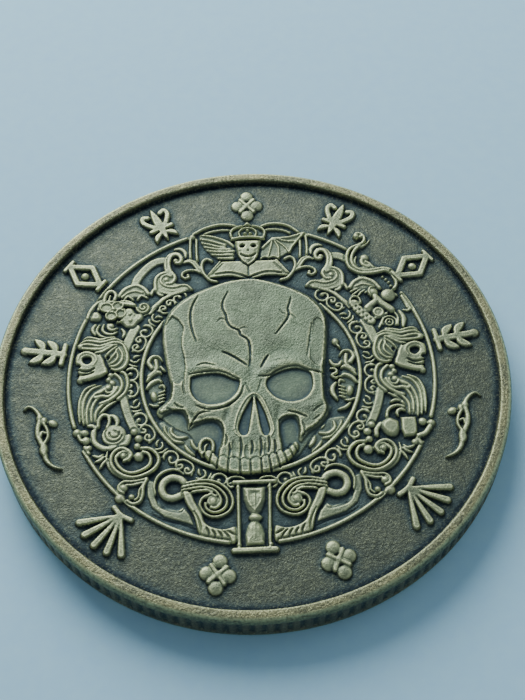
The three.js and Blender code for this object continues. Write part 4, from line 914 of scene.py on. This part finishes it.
    # creases and cracks
    for points, width, cut in (
            ([(-1.7, 7.7), (-2.1, 6.8), (-2.15, 6.1), (-1.9, 5.4), (-1.8, 4.8), (-1.5, 4.3), (-0.9, 3.95),
              (-0.75, 3.5), (-0.25, 3.1), (-0.1, 2.5), (-0.05, 1.4), (-0.15, 0.6)], 0.17, 0.18),
            ([(-1.9, 5.0), (-2.3, 5.1), (-2.6, 4.8)], 0.11, 0.1),
            ([(-0.9, 4.0), (-0.5, 4.2), (-0.2, 4.1)], 0.1, 0.09),
            ([(3.35, 7.0), (3.2, 6.4), (3.05, 5.9), (3.1, 5.3), (2.9, 4.8), (2.5, 4.2), (2.0, 3.5)], 0.17,
             0.18), ([(3.0, 5.4), (3.4, 5.2), (3.7, 4.8)], 0.11, 0.1),
            ([(2.95, 5.3), (2.6, 5.5), (2.4, 5.8)], 0.11, 0.1),
            ([(-4.1, 7.4), (-4.5, 6.6), (-4.7, 5.8), (-4.7, 4.9), (-4.55, 4.0), (-4.25, 3.0)], 0.18, 0.17),
            ([(-2.2, 2.05), (-1.7, 1.8), (-1.0, 1.3), (-0.3, 0.7)], 0.2, 0.18),
            ([(1.35, 1.6), (1.05, 1.1), (0.75, 0.45)], 0.2, 0.18),
            ([(-0.1, 3.0), (0.0, 2.3), (0.0, 1.6)], 0.14, 0.1),
            ([(-4.2, 0.75), (-3.6, 0.95), (-2.7, 0.7)], 0.17, 0.15),
            ([(1.5, 0.9), (2.3, 1.15), (3.0, 1.15)], 0.12, 0.07),
            ([(4.9, 4.4), (4.75, 3.5), (4.6, 2.6), (4.4, 1.4)], 0.17, 0.12),
            ([(-4.8, -4.6), (-4.4, -3.9), (-4.1, -3.5), (-3.6, -3.3), (-3.1, -3.25)], 0.17, 0.16),
            ([(-5.9, -2.5), (-5.6, -2.8), (-5.2, -2.9)], 0.2, 0.14),
            ([(-5.2, -0.3), (-5.25, -1.1), (-5.1, -1.8)], 0.16, 0.12),
            ([(2.7, -3.45), (3.3, -3.6), (4.1, -4.0)], 0.18, 0.17),
            ([(4.6, -3.6), (5.0, -3.2), (5.4, -3.0)], 0.15, 0.12),
            ([(4.9, 0.0), (5.4, -0.15), (5.7, -0.2)], 0.16, 0.13),
            ([(-0.5, -0.9), (-0.3, -1.4), (-0.1, -1.8)], 0.13, 0.1),
            ([(0.75, -0.7), (0.6, -1.2), (0.45, -1.7)], 0.13, 0.1),
            ([(-6.1, -3.0), (-6.5, -2.9)], 0.16, 0.1),
            ([(3.7, -4.4), (3.9, -5.0), (3.8, -5.6)], 0.16, 0.12), ([(4.6, -4.3), (5.1, -3.9)], 0.15, 0.1)):
        die.groove(points, width, cut)
    for x, top, foot in ((-2.05, -5.3, -6.2), (-1.8, -6.1, -7.2), (-0.95, -5.6, -7.3), (-0.12, -5.9, -7.0),
                         (0.55, -5.7, -7.2), (1.15, -5.5, -6.9), (1.6, -5.9, -7.0)):
        die.groove([(x, top), (x + 0.06, (top + foot) / 2), (x - 0.03, foot)], 0.2, 0.16)
    for x, top, foot in ((-1.45, -5.9, -7.3), (-0.5, -6.3, -7.4), (0.9, -6.2, -7.2)):
        die.groove([(x, top), (x - 0.04, (top + foot) / 2), (x + 0.05, foot)], 0.42, 0.07)
    draw_teeth(die)


def draw_flourishes(die):
    """The small sprays either side of the legend, level with the skull's cheeks."""
    for name, side in SIDES:
        die.node(f"flourish_{name}", side)
        die.ridge([(-17.4, -2.55), (-17.1, -2.28), (-16.7, -2.42), (-16.35, -2.8), (-16.15, -3.15)], 0.42,
                  0.32, taper="start")
        die.bead(-16.15, -3.3, 0.32, 0.34, long=0.36)
        die.bead(-15.8, -3.55, 0.25, 0.34, long=0.38)
        die.bead(-15.15, -3.75, 0.42, 0.3, long=0.32, tilt=-30)
        die.ridge([(-16.15, -3.6), (-16.24, -4.2), (-16.18, -4.8), (-15.95, -5.3), (-15.75, -5.7)], 0.46,
                  0.32)
        die.ridge([(-15.85, -3.75), (-15.52, -4.3), (-15.42, -4.9), (-15.62, -5.45)], 0.3, 0.32)
        die.ridge([(-15.95, -4.85), (-15.9, -4.5), (-15.65, -4.6)], 0.24, 0.3)
        die.ridge([(-15.65, -5.5), (-15.68, -6.0), (-15.6, -6.5)], 0.7, 0.38, taper="ends")
        die.ridge([(-15.62, -6.2), (-15.45, -6.8), (-15.1, -7.25), (-14.7, -7.5), (-14.3, -7.62)], 0.5, 0.32,
                  taper="end")


def draw_legend(die):
    """Generic ornaments round the border, where a legend would stand."""
    def stroke(points, width=0.56, taper="none"):
        die.ridge([(1.15 * u, 1.05 * v) for u, v in points], 1.1 * width, 0.3, flat_section, taper=taper)

    def sprig():
        stroke([(0, -1.6), (0, 1.1)], 0.6)
        for v in (-0.7, 0.25):
            for s in (1, -1):
                stroke([(0, v - 0.35), (0.55 * s, v - 0.1), (0.95 * s, v + 0.55)], 0.66, "leaf")
        die.bead(0, 1.35, 0.42, 0.3)
        stroke([(-0.75, -1.6), (0.75, -1.6)], 0.42)

    def lozenge():
        for a, b in (
                     ((0, -1.5), (0.85, 0)), ((0.85, 0), (0, 1.5)), ((0, 1.5), (-0.85, 0)),
                     ((-0.85, 0), (0, -1.5))):
            stroke([a, b], 0.52)
        die.bead(0, 0, 0.36, 0.3)
        for v in (1.6, -1.6):
            stroke([(-0.45, v), (0.45, v)], 0.36)

    def fleuron():
        stroke([(0, -1.6), (0, 0.2), (0, 1.65)], 0.8, "leaf")
        for s in (1, -1):
            stroke([(0.1 * s, -0.5), (0.6 * s, 0.1), (0.95 * s, 0.7), (0.85 * s, 1.15), (0.5 * s, 1.05)],
                   0.46)
            stroke([(0.1 * s, -0.8), (0.6 * s, -1.1), (0.85 * s, -1.55)], 0.5, "leaf")
        stroke([(-0.8, -0.4), (0.8, -0.4)], 0.4)

    def quatrefoil():
        for degrees in range(0, 360, 90):
            a = math.radians(degrees)
            die.bead(0.78 * math.sin(a), 1.0 * math.cos(a), 0.56, 0.28, power=0.35)
            b = a + EIGHTH_TURN
            stroke([(0, 0), (0.7 * math.sin(b), 0.85 * math.cos(b))], 0.34)
        die.bead(0, 0, 0.4, 0.33)

    def fan():
        for k in range(-2, 3):
            lean = 0.34 * k
            stroke([(0, -1.4), (1.4 * math.sin(lean), -1.4 + 1.4 * math.cos(lean)),
                    (2.8 * math.sin(lean), -1.4 + 2.8 * math.cos(lean))], 0.56, "start")
        stroke([(-0.7, -1.55), (0, -1.4), (0.7, -1.55)], 0.42)

    marks = ((sprig, 171), (lozenge, 143.6), (fleuron, 116.4), (quatrefoil, 90), (fleuron, 63.4),
             (lozenge, 36.3), (sprig, 10.2), (fan, -42), (quatrefoil, -69.4), (quatrefoil, -99.6),
             (fan, -130))
    for k, (mark, degrees) in enumerate(marks, 1):
        die.node(f"legend_mark_{k:02d}", turn=(degrees, LEGEND_RADIUS))
        mark()


def obverse_die():
    """The side that shows. What is drawn later stands over what is drawn before it."""
    die = Relief(GRID_REACH, PITCH)
    for draw in (draw_scroll_vine, draw_bands, draw_foliage, draw_big_spirals, draw_lines, draw_upper_scrolls,
                 draw_flower, draw_acanthus, draw_knot, draw_masks, draw_lower_left, draw_lower_right,
                 draw_c_scrolls, draw_cartouche, draw_hourglass, draw_skull, draw_flourishes, draw_legend):
        draw(die)
    return die


# ---- the reverse design ----

BEAD_COUNT = 72
BEAD_RING = 17.0
PETALS = 8


def reverse_die():
    """The hidden side: a ring line and an eight-petal rosette."""
    die = Relief(REVERSE_GRID_REACH, REVERSE_PITCH)
    die.node("reverse_line")
    die.ridge(arc(0, 0, 15.0, 0, 360, 90), 0.7, 0.26)
    for k in range(BEAD_COUNT):
        die.node("reverse_line", turn=(k * 360 / BEAD_COUNT, BEAD_RING))
        die.bead(0, 0, 0.34, 0.22)
    die.node("reverse_rosette")
    die.ridge(arc(0, 0, 12.6, 0, 360, 90), 0.34, 0.2)
    step = 360 / PETALS
    for k in range(PETALS):
        die.node("reverse_rosette", turn=(k * step + step / 2, 0))
        die.ridge([(0, 2.2), (0, 5.5), (0, 9.0)], 1.5, 0.26, soft_section, taper="leaf")
        die.node("reverse_rosette", turn=(k * step, 0))
        die.ridge([(0, 1.6), (0, 6.4), (0, 11.4)], 3.6, 0.34, soft_section, taper="leaf")
        die.groove([(0, 2.4), (0, 6.0), (0, 10.2)], 0.4, 0.16)
        for side in (1, -1):
            for v in (4.2, 5.8, 7.4):
                die.groove([(0.1 * side, v), (0.9 * side, v + 1.1)], 0.3, 0.1)
    die.node("reverse_rosette")
    die.bead(0, 0, 1.9, 0.42, power=0.4)
    die.groove(arc(0, 0, 1.25, 0, 360, 30), 0.35, 0.14, taper="none")
    return die


# ---- meshes ----

def surface_mesh(name, vertices, quads, normals, attributes):
    """A mesh with given point normals and one float attribute for each name."""
    mesh = bpy.data.meshes.new(name)
    mesh.vertices.add(len(vertices))
    mesh.vertices.foreach_set("co", (vertices * MM).astype(np.float32).ravel())
    mesh.loops.add(quads.size)
    mesh.loops.foreach_set("vertex_index", quads.astype(np.int32).ravel())
    mesh.polygons.add(len(quads))
    mesh.polygons.foreach_set("loop_start", np.arange(0, quads.size, 4, dtype=np.int32))
    for label, values in attributes.items():
        layer = mesh.attributes.new(label, "FLOAT", "POINT")
        layer.data.foreach_set("value", values.astype(np.float32))
    mesh.update(calc_edges=True)
    mesh.polygons.foreach_set("use_smooth", np.ones(len(quads), bool))
    mesh.normals_split_custom_set_from_vertices(normals.astype(np.float32))
    obj = bpy.data.objects.new(name, mesh)
    bpy.context.scene.collection.objects.link(obj)
    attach(obj, "root")
    return obj


def chosen(quads, grids):
    """Only the points that the quads use, renumbered."""
    used, numbers = np.unique(quads, return_inverse=True)
    return numbers.reshape(quads.shape), [grid[used] for grid in grids]


SMOOTHING = 0.55              # blur of the struck surface, in grid steps
CALM_HEIGHT = 0.002           # field flatter than this is made of large faces
FLAT_BLOCK = 4                # their size, in grid steps


def die_surfaces(die, field_z, facing, field_name):
    """Cuts the height map into one surface for each node, sharing points along their borders."""
    distance = np.hypot(die.x, die.y)
    height = die.blur(die.height, SMOOTHING * die.pitch)
    calm = (np.abs(height) < CALM_HEIGHT) & (die.owner == 0)
    height[calm] = 0
    rim_wall = np.clip((distance - RIM_FOOT) / (RIM_INNER - RIM_FOOT), 0, 1)
    # the rim wall counts as raised metal, so the field beside it is darkened with patina and painted shade
    # too
    around = np.maximum(height, rim_wall * FIELD_DEPTH)
    slope_y, slope_x = np.gradient(height, die.pitch)
    normals = np.stack([-slope_x, -slope_y, np.ones_like(height)], -1)
    normals /= np.linalg.norm(normals, axis=-1, keepdims=True)
    vertices = np.stack([die.x, die.y, field_z + facing * height], -1)
    if facing < 0:
        vertices[..., 0] *= -1
        normals *= (-1, 1, -1)
    # what the materials read: hollows (patina and painted shade), raised edges (wear and painted highlight),
    # the ground inside the outer line, and height
    narrow, wide = die.blur(around, 0.3) - height, die.blur(around, 0.9) - height
    attributes = {
        "patina_and_shade": np.clip(narrow / 0.16 + wide / 0.5, 0, 1),
        # raised edges: rubbed wear and a painted highlight
        "edge": np.clip((height - die.blur(height, 0.12)) / 0.05, 0, 1),
        "ground": np.clip((OUTER_LINE + 0.3 - distance) / 0.5, 0, 1),
        "lift": np.clip(height / 0.4, 0, 1),
    }

    # flat parts of the field become large faces, and all the rest keeps the fine grid
    count = len(die.axis)
    index = np.arange(count * count).reshape(count, count)
    block = FLAT_BLOCK
    whole = (count - 1) // block * block
    flat = np.ones((whole // block, whole // block), bool)
    for i in range(block + 1):
        for j in range(block + 1):
            flat &= (calm & (distance < RIM_FOOT))[i:i + whole:block, j:j + whole:block][:len(flat),
                :len(flat)]
    starts = index[:whole:block, :whole:block][flat]
    blocks = starts[:, None] + np.array([0, block, block * count + block, block * count])
    small = distance[:-1, :-1] < RIM_INNER
    small[:whole, :whole] &= ~flat.repeat(block, 0).repeat(block, 1)
    starts = index[:-1, :-1][small]
    cells = starts[:, None] + np.array([0, 1, count + 1, count])
    owners = die.owner[:-1, :-1][small]

    grids = [vertices.reshape(-1, 3), normals.reshape(-1, 3)] + [v.ravel() for v in attributes.values()]
    made = {}
    for number, node in enumerate(die.names):
        quads = cells[owners == number]
        if number == 0:
            quads = np.vstack([quads, blocks])
        quads, (points, facings, *values) = chosen(quads, grids)
        name = field_name if number == 0 else f"{node}_relief"
        obj = surface_mesh(name, points, quads, facings, dict(zip(attributes, values)))
        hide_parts("coin_blank" if number == 0 else node)
        made[node] = obj
    return made


def ring_surface(name, radius, z, patina_and_shade, edge, cad_node):
    """A surface running round the coin. Grid rows are angles, and columns run along its profile."""
    angles = np.linspace(0, 2 * math.pi, len(radius), endpoint=False)[:, None]
    points = np.stack([radius * np.cos(angles), radius * np.sin(angles), z], -1)
    along = np.gradient(points, axis=1)
    wrapped = np.concatenate([points[-1:], points, points[:1]])
    around = (wrapped[2:] - wrapped[:-2]) / 2
    normals = np.cross(along, around)
    normals /= np.linalg.norm(normals, axis=-1, keepdims=True)
    rows, columns = radius.shape
    index = np.arange(rows * columns).reshape(rows, columns)
    after = np.roll(index, -1, axis=0)
    quads = np.stack([index[:, :-1], index[:, 1:], after[:, 1:], after[:, :-1]], -1).reshape(-1, 4)
    values = {"patina_and_shade": patina_and_shade.ravel(), "edge": edge.ravel(), "ground": np.zeros(points[..., 0].size),
              "lift": np.ones(points[..., 0].size)}
    obj = surface_mesh(name, points.reshape(-1, 3), quads, normals.reshape(-1, 3), values)
    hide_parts(cad_node)
    return obj


# ---- rims and edge ----

EDGE_TOP = 2.36
EDGE_FOOT = THICKNESS - EDGE_TOP
EDGE_ROWS = 15
ROUND_STEPS = REEDS * 12
RIM_DENTS = 46
RIM_CREST = 19.3              # the rim's inner slope is inside this radius
# the rim's section as (radius, height), from the field over the top and down to the reeds
RIM_PROFILE = ((18.93, 2.44), (18.99, 2.52), (19.03, 2.66), (19.07, 2.80), (19.11, 2.91), (19.16, 2.965),
               (19.22, 2.99), (19.30, 3.0), (19.42, 3.0), (19.54, 3.0), (19.64, 3.0), (19.72, 2.985),
               (19.79, 2.95), (19.86, 2.89), (19.92, 2.81), (19.96, 2.72), (19.98, 2.6), (19.99, 2.46),
               (19.99, EDGE_TOP))


def round_noise(random, waves, strength):
    """A smooth wander round the coin, the same after one turn."""
    angles = np.linspace(0, 2 * math.pi, ROUND_STEPS, endpoint=False)
    total = np.zeros(ROUND_STEPS)
    for wave in waves:
        total += np.sin(angles * wave + random.uniform(0, FULL_TURN)) * random.uniform(0.5, 1)
    return strength * total / math.sqrt(len(waves))


def rim_surface(name, cad_node, seed, facing):
    """A rounded rim with a few worn dents. Facing is -1 for the reverse."""
    random = np.random.default_rng(seed)
    profile = np.array(RIM_PROFILE)
    radius = np.repeat(profile[None, :, 0], ROUND_STEPS, 0)
    z = np.repeat(profile[None, :, 1], ROUND_STEPS, 0)
    top = np.clip((z - 2.7) / 0.25, 0, 1)
    z -= top * (0.006 + round_noise(random, (7, 13, 31, 57), 0.004)[:, None])
    radius += (1 - top) * (radius < RIM_CREST) * round_noise(random, (9, 23, 41), 0.012)[:, None]
    angles = np.linspace(0, 2 * math.pi, ROUND_STEPS, endpoint=False)
    for _ in range(RIM_DENTS):
        at = random.uniform(0, 2 * math.pi)
        spot = random.choice([19.14, 19.4, 19.7, 19.9])
        width = random.uniform(0.15, 0.45)
        depth = random.uniform(0.015, 0.05)
        arc_gap = np.abs((angles - at + math.pi) % (2 * math.pi) - math.pi) * COIN_RADIUS
        dent = depth * np.exp(-(arc_gap[:, None] / width) ** 2 - ((radius - spot) / 0.12) ** 2)
        z -= dent * top
    # darker down the rim's inner slope: patina and painted shade
    patina_and_shade = np.clip((2.86 - z) / 0.34, 0, 1) * (radius < RIM_CREST)
    # the metal is paler along the rim's outer and inner corners: rubbed wear and a painted highlight
    edge = np.exp(-((radius - 19.78) / 0.1) ** 2) + 0.6 * np.exp(-((radius - 19.16) / 0.06) ** 2)
    if facing < 0:
        radius, z = radius[:, ::-1], THICKNESS - z[:, ::-1]
        patina_and_shade, edge = patina_and_shade[:, ::-1], edge[:, ::-1]
    return ring_surface(name, radius, z, patina_and_shade, edge, cad_node)


def edge_surface():
    """The reeded edge: short upright grooves that stop below each rim."""
    steps = np.linspace(EDGE_TOP, EDGE_FOOT, EDGE_ROWS)
    angles = np.linspace(0, 2 * math.pi, ROUND_STEPS, endpoint=False)
    phase = np.abs((angles * REEDS / (2 * math.pi)) % 1 - 0.5)
    groove = np.clip(1 - (phase / REED_HALF_WIDTH) ** 2, 0, 1) ** 0.6
    below_top = np.clip((EDGE_TOP - steps) / REED_RUNOUT, 0, 1)
    above_foot = np.clip((steps - EDGE_FOOT) / REED_RUNOUT, 0, 1)
    ends = below_top * above_foot
    cut = REED_DEPTH * groove[:, None] * np.sqrt(ends)[None, :]
    radius = COIN_RADIUS - EDGE_INSET - cut
    z = np.repeat(steps[None, :], ROUND_STEPS, 0)
    # the whole edge a little darker and the reed grooves darker still: patina and painted shade
    patina_and_shade = 0.2 + 0.4 * cut / REED_DEPTH
    return ring_surface("coin_edge", radius, z, patina_and_shade, 0 * cut, "coin_blank")


# ---- materials ----

def tone(red, green, blue):
    """A colour given on the 0 to 255 screen scale, as the shader's linear values."""
    def linear(value):
        value /= 255
        return value / 12.92 if value <= 0.04045 else ((value + 0.055) / 1.055) ** 2.4
    return linear(red), linear(green), linear(blue), 1


class Nodes:
    """Short ways to add and join the nodes of one material."""

    def __init__(self, name):
        self.material = bpy.data.materials.new(name)
        self.material.use_nodes = True
        self.tree = self.material.node_tree
        self.shader = self.tree.nodes["Principled BSDF"]

    def add(self, kind, **settings):
        node = self.tree.nodes.new(kind)
        for key, value in settings.items():
            setattr(node, key, value)
        return node

    def join(self, source, target):
        self.tree.links.new(source, target)

    def attribute(self, name):
        return self.add("ShaderNodeAttribute", attribute_name=name).outputs["Fac"]

    def noise(self, place, scale, detail=3.0, roughness=0.55):
        node = self.add("ShaderNodeTexNoise")
        node.inputs["Scale"].default_value = scale
        node.inputs["Detail"].default_value = detail
        node.inputs["Roughness"].default_value = roughness
        self.join(place, node.inputs["Vector"])
        return node.outputs["Fac"]

    def ramp(self, value, low, high, out_low=0.0, out_high=1.0):
        node = self.add("ShaderNodeMapRange")
        self.join(value, node.inputs["Value"])
        for socket, number in (
                ("From Min", low), ("From Max", high), ("To Min", out_low), ("To Max", out_high)):
            node.inputs[socket].default_value = number
        return node.outputs["Result"]

    def math(self, operation, first, second):
        node = self.add("ShaderNodeMath", operation=operation)
        for socket, value in zip(node.inputs, (first, second)):
            if isinstance(value, (int, float)):
                socket.default_value = value
            else:
                self.join(value, socket)
        return node.outputs[0]

    def mix(self, factor, first, second, blend="MIX"):
        node = self.add("ShaderNodeMix", data_type="RGBA", blend_type=blend)
        self.join(factor, node.inputs["Factor"])
        for socket, value in ((node.inputs["A"], first), (node.inputs["B"], second)):
            if isinstance(value, tuple):
                socket.default_value = value
            else:
                self.join(value, socket)
        return node.outputs["Result"]


OLIVE = tone(89, 93, 79)
OLIVE_DARK = tone(70, 76, 68)
PALE_GOLD = tone(208, 212, 162)
SLATE = tone(68, 82, 82)
DEEP_SLATE = tone(36, 48, 56)
GREY_GREEN = tone(144, 152, 118)
SKULL_GREEN = tone(114, 126, 101)
SKULL_DEEP = tone(60, 80, 94)
EDGE_BROWN = tone(134, 118, 88)
RIM_OLIVE = tone(140, 136, 100)
PAPER = tone(184, 230, 254)
PAPER_LIGHT = tone(190, 235, 255)

# noise scales, in waves for each metre
CLOUD_SCALE = 420
BLOTCH_SCALE = 1500
GRIT_SCALE = 5800
SCRATCH_SCALE = 4200
FIBRE_SCALE = 900

SCRATCH_ANGLES = (0.9, -0.5)
SCRATCH_STRETCH = 9
LOW_GRAIN = 0.3               # how much of the grain is left on the smooth floors of the skull's hollows
METALLIC = 0.85
BUMP_STRENGTH = 0.8
BUMP_DEPTH = 0.00006          # metres


def uneven(n, blotches, amount):
    """A blotchy value either side of zero, to break up a smooth border."""
    return n.math("MULTIPLY", n.math("SUBTRACT", blotches, 0.5), amount)


def scratch_lines(n, place, angle):
    """Fine lines that lie at an angle across the coin."""
    stretch = n.add("ShaderNodeMapping", vector_type="TEXTURE")
    stretch.inputs["Scale"].default_value = (SCRATCH_STRETCH, 1, 1)
    stretch.inputs["Rotation"].default_value = (0, 0, angle)
    n.join(place, stretch.inputs["Vector"])
    return n.ramp(n.noise(stretch.outputs["Vector"], SCRATCH_SCALE, 2, 0.6), 0.66, 0.74)


def bronze(name, face, shade, grain, speckle, scratches=0.0, wear_and_highlight=0.8, ground_dark=0.8, ground_top=0.4,
           patina_and_shade_dark=0.95, deep=DEEP_SLATE, smooth_hollows=False):
    """Antique bronze: dark slate patina and painted shade in the hollows, olive faces, and paler edges of
    rubbed wear and painted highlight.
    """
    n = Nodes(name)
    place = n.add("ShaderNodeTexCoord").outputs["Object"]
    clouds = n.noise(place, CLOUD_SCALE, 4)
    blotches = n.noise(place, BLOTCH_SCALE, 4)
    grit = n.noise(place, GRIT_SCALE, 2, 0.75)
    patina_and_shade, edge, ground = n.attribute("patina_and_shade"), n.attribute("edge"), n.attribute("ground")

    # the face, darker where it lies low inside the ornament
    colour = n.mix(n.ramp(clouds, 0.4, 0.62, 0.0, 0.55), face, shade)
    lowness = n.ramp(n.attribute("lift"), ground_top, ground_top - 0.4, 0.0, ground_dark)
    colour = n.mix(n.math("MULTIPLY", ground, lowness), colour, SLATE)
    # edges made pale, as rubbed wear and a painted highlight, then hollows darkened with patina and painted
    # shade
    worn = n.math("ADD", edge, uneven(n, blotches, 0.8))
    colour = n.mix(n.ramp(worn, 0.15, 0.8, 0.0, wear_and_highlight), colour, PALE_GOLD)
    hollow = n.math("ADD", patina_and_shade, uneven(n, blotches, 0.3))
    colour = n.mix(n.ramp(hollow, 0.1, 0.6, 0.0, patina_and_shade_dark * 0.9), colour, SLATE)
    colour = n.mix(n.ramp(hollow, 0.5, 1.0, 0.0, patina_and_shade_dark), colour, deep)
    # dark and pale specks, strongest on the open field
    open_field = n.math("SUBTRACT", 1.0, n.math("MULTIPLY", ground, 0.6))
    dark_grit = n.math("MULTIPLY", n.ramp(grit, 0.34, 0.5, speckle, 0.0), open_field)
    pale_grit = n.math("MULTIPLY", n.ramp(grit, 0.54, 0.68, 0.0, speckle * 0.6), open_field)
    colour = n.mix(dark_grit, colour, DEEP_SLATE)
    colour = n.mix(pale_grit, colour, PALE_GOLD)
    n.join(colour, n.shader.inputs["Base Color"])

    # patina is rougher than rubbed metal
    rough = n.math("ADD", n.ramp(blotches, 0.3, 0.7, 0.42, 0.56), n.math("MULTIPLY", patina_and_shade, 0.2))
    n.join(rough, n.shader.inputs["Roughness"])
    n.shader.inputs["Metallic"].default_value = METALLIC

    # sandblasted grain and scratches, as bump
    surface = n.math("ADD", n.math("MULTIPLY", grit, grain), n.math("MULTIPLY", blotches, 0.8))
    if scratches:
        for angle in SCRATCH_ANGLES:
            lines = scratch_lines(n, place, angle)
            surface = n.math("SUBTRACT", surface, n.math("MULTIPLY", lines, scratches))
    if smooth_hollows:
        high = n.ramp(n.attribute("lift"), 0.5, 0.9, LOW_GRAIN, 1.0)
        surface = n.math("MULTIPLY", surface, high)
    bump = n.add("ShaderNodeBump")
    bump.inputs["Strength"].default_value = BUMP_STRENGTH
    bump.inputs["Distance"].default_value = BUMP_DEPTH
    n.join(surface, bump.inputs["Height"])
    n.join(bump.outputs["Normal"], n.shader.inputs["Normal"])
    return n.material


def floor_material():
    """Plain pale paper with a faint change of tone."""
    n = Nodes("pale_paper")
    place = n.add("ShaderNodeTexCoord").outputs["Object"]
    fibres = n.noise(place, FIBRE_SCALE, 3)
    n.join(n.mix(n.ramp(fibres, 0.3, 0.7), PAPER, PAPER_LIGHT), n.shader.inputs["Base Color"])
    n.shader.inputs["Roughness"].default_value = 0.9
    return n.material


# ---- the coin ----

FIELD_METAL = bronze("field_bronze", OLIVE, OLIVE_DARK, grain=1.35, speckle=0.26, wear_and_highlight=0.5)
RELIEF_METAL = bronze("relief_bronze", GREY_GREEN, OLIVE, grain=0.7, speckle=0.3)
SKULL_METAL = bronze("skull_bronze", SKULL_GREEN, OLIVE, grain=1.25, speckle=0.3, scratches=0.5, wear_and_highlight=0.9,
                     ground_dark=0.38, ground_top=0.85, patina_and_shade_dark=0.65, deep=SKULL_DEEP,
                     smooth_hollows=True)
RIM_METAL = bronze("rim_bronze", RIM_OLIVE, OLIVE, grain=1.4, speckle=0.5, scratches=0.4, wear_and_highlight=0.85)
EDGE_METAL = bronze("edge_bronze", EDGE_BROWN, OLIVE_DARK, grain=1.2, speckle=0.4, wear_and_highlight=0.4)


def dress(obj, material):
    obj.data.materials.append(material)


for die, field_z, facing, field_name in ((obverse_die(), FIELD, 1, "coin_field"),
                                         (reverse_die(), FIELD_DEPTH, -1, "coin_back")):
    for node, surface in die_surfaces(die, field_z, facing, field_name).items():
        if node == "field":
            dress(surface, FIELD_METAL)
        elif node in ("skull", "tooth_row"):
            dress(surface, SKULL_METAL)
        else:
            dress(surface, RELIEF_METAL)
dress(rim_surface("obverse_rim_ring", "obverse_rim", 5, 1), RIM_METAL)
dress(rim_surface("reverse_rim_ring", "reverse_rim", 11, -1), RIM_METAL)
dress(edge_surface(), EDGE_METAL)


# ---- floor, light and camera ----

FLOOR_SIZE = 3                # metres from here to the end
# name, place, diameter, watts and colour
LAMPS = (("key_light", (-0.08, 0.22, 0.15), 0.22, 1.05, (0.88, 0.97, 1.0)),
         ("fill_light", (0.35, 0.25, 0.35), 0.40, 0.3, (0.8, 0.93, 1.0)))
SKY_COLOUR = (0.68, 0.86, 1.0, 1)
SKY_STRENGTH = 0.28
# the camera was solved from the circles of the coin in the photograph
CAMERA_PLACE = (0.000756, -0.04933, 0.085072)
CAMERA_DEGREES = (32.0, 0.9, -1.623)
CAMERA_LENS = 63.87           # mm, on a sensor 36 mm wide


def studio():
    bpy.ops.mesh.primitive_plane_add(size=FLOOR_SIZE)
    floor = bpy.context.object
    floor.name = "studio_floor"
    floor.data.materials.append(floor_material())

    world = bpy.data.worlds.new("studio_world")
    bpy.context.scene.world = world
    world.use_nodes = True
    background = world.node_tree.nodes["Background"]
    background.inputs["Color"].default_value = SKY_COLOUR
    background.inputs["Strength"].default_value = SKY_STRENGTH

    for name, place, size, power, colour in LAMPS:
        lamp = bpy.data.lights.new(name, "AREA")
        lamp.shape = "DISK"
        lamp.size = size
        lamp.energy = power
        lamp.color = colour
        obj = bpy.data.objects.new(name, lamp)
        obj.location = place
        obj.rotation_euler = (-obj.location).to_track_quat("-Z", "Y").to_euler()
        obj.visible_camera = False
        bpy.context.scene.collection.objects.link(obj)

    lens = bpy.data.cameras.new("camera")
    lens.lens = CAMERA_LENS
    lens.sensor_width = 36
    lens.clip_start = 0.005
    lens.clip_end = 10
    camera = bpy.data.objects.new("camera", lens)
    camera.location = CAMERA_PLACE
    camera.rotation_euler = [math.radians(a) for a in CAMERA_DEGREES]
    bpy.context.scene.collection.objects.link(camera)
    bpy.context.scene.camera = camera


studio()
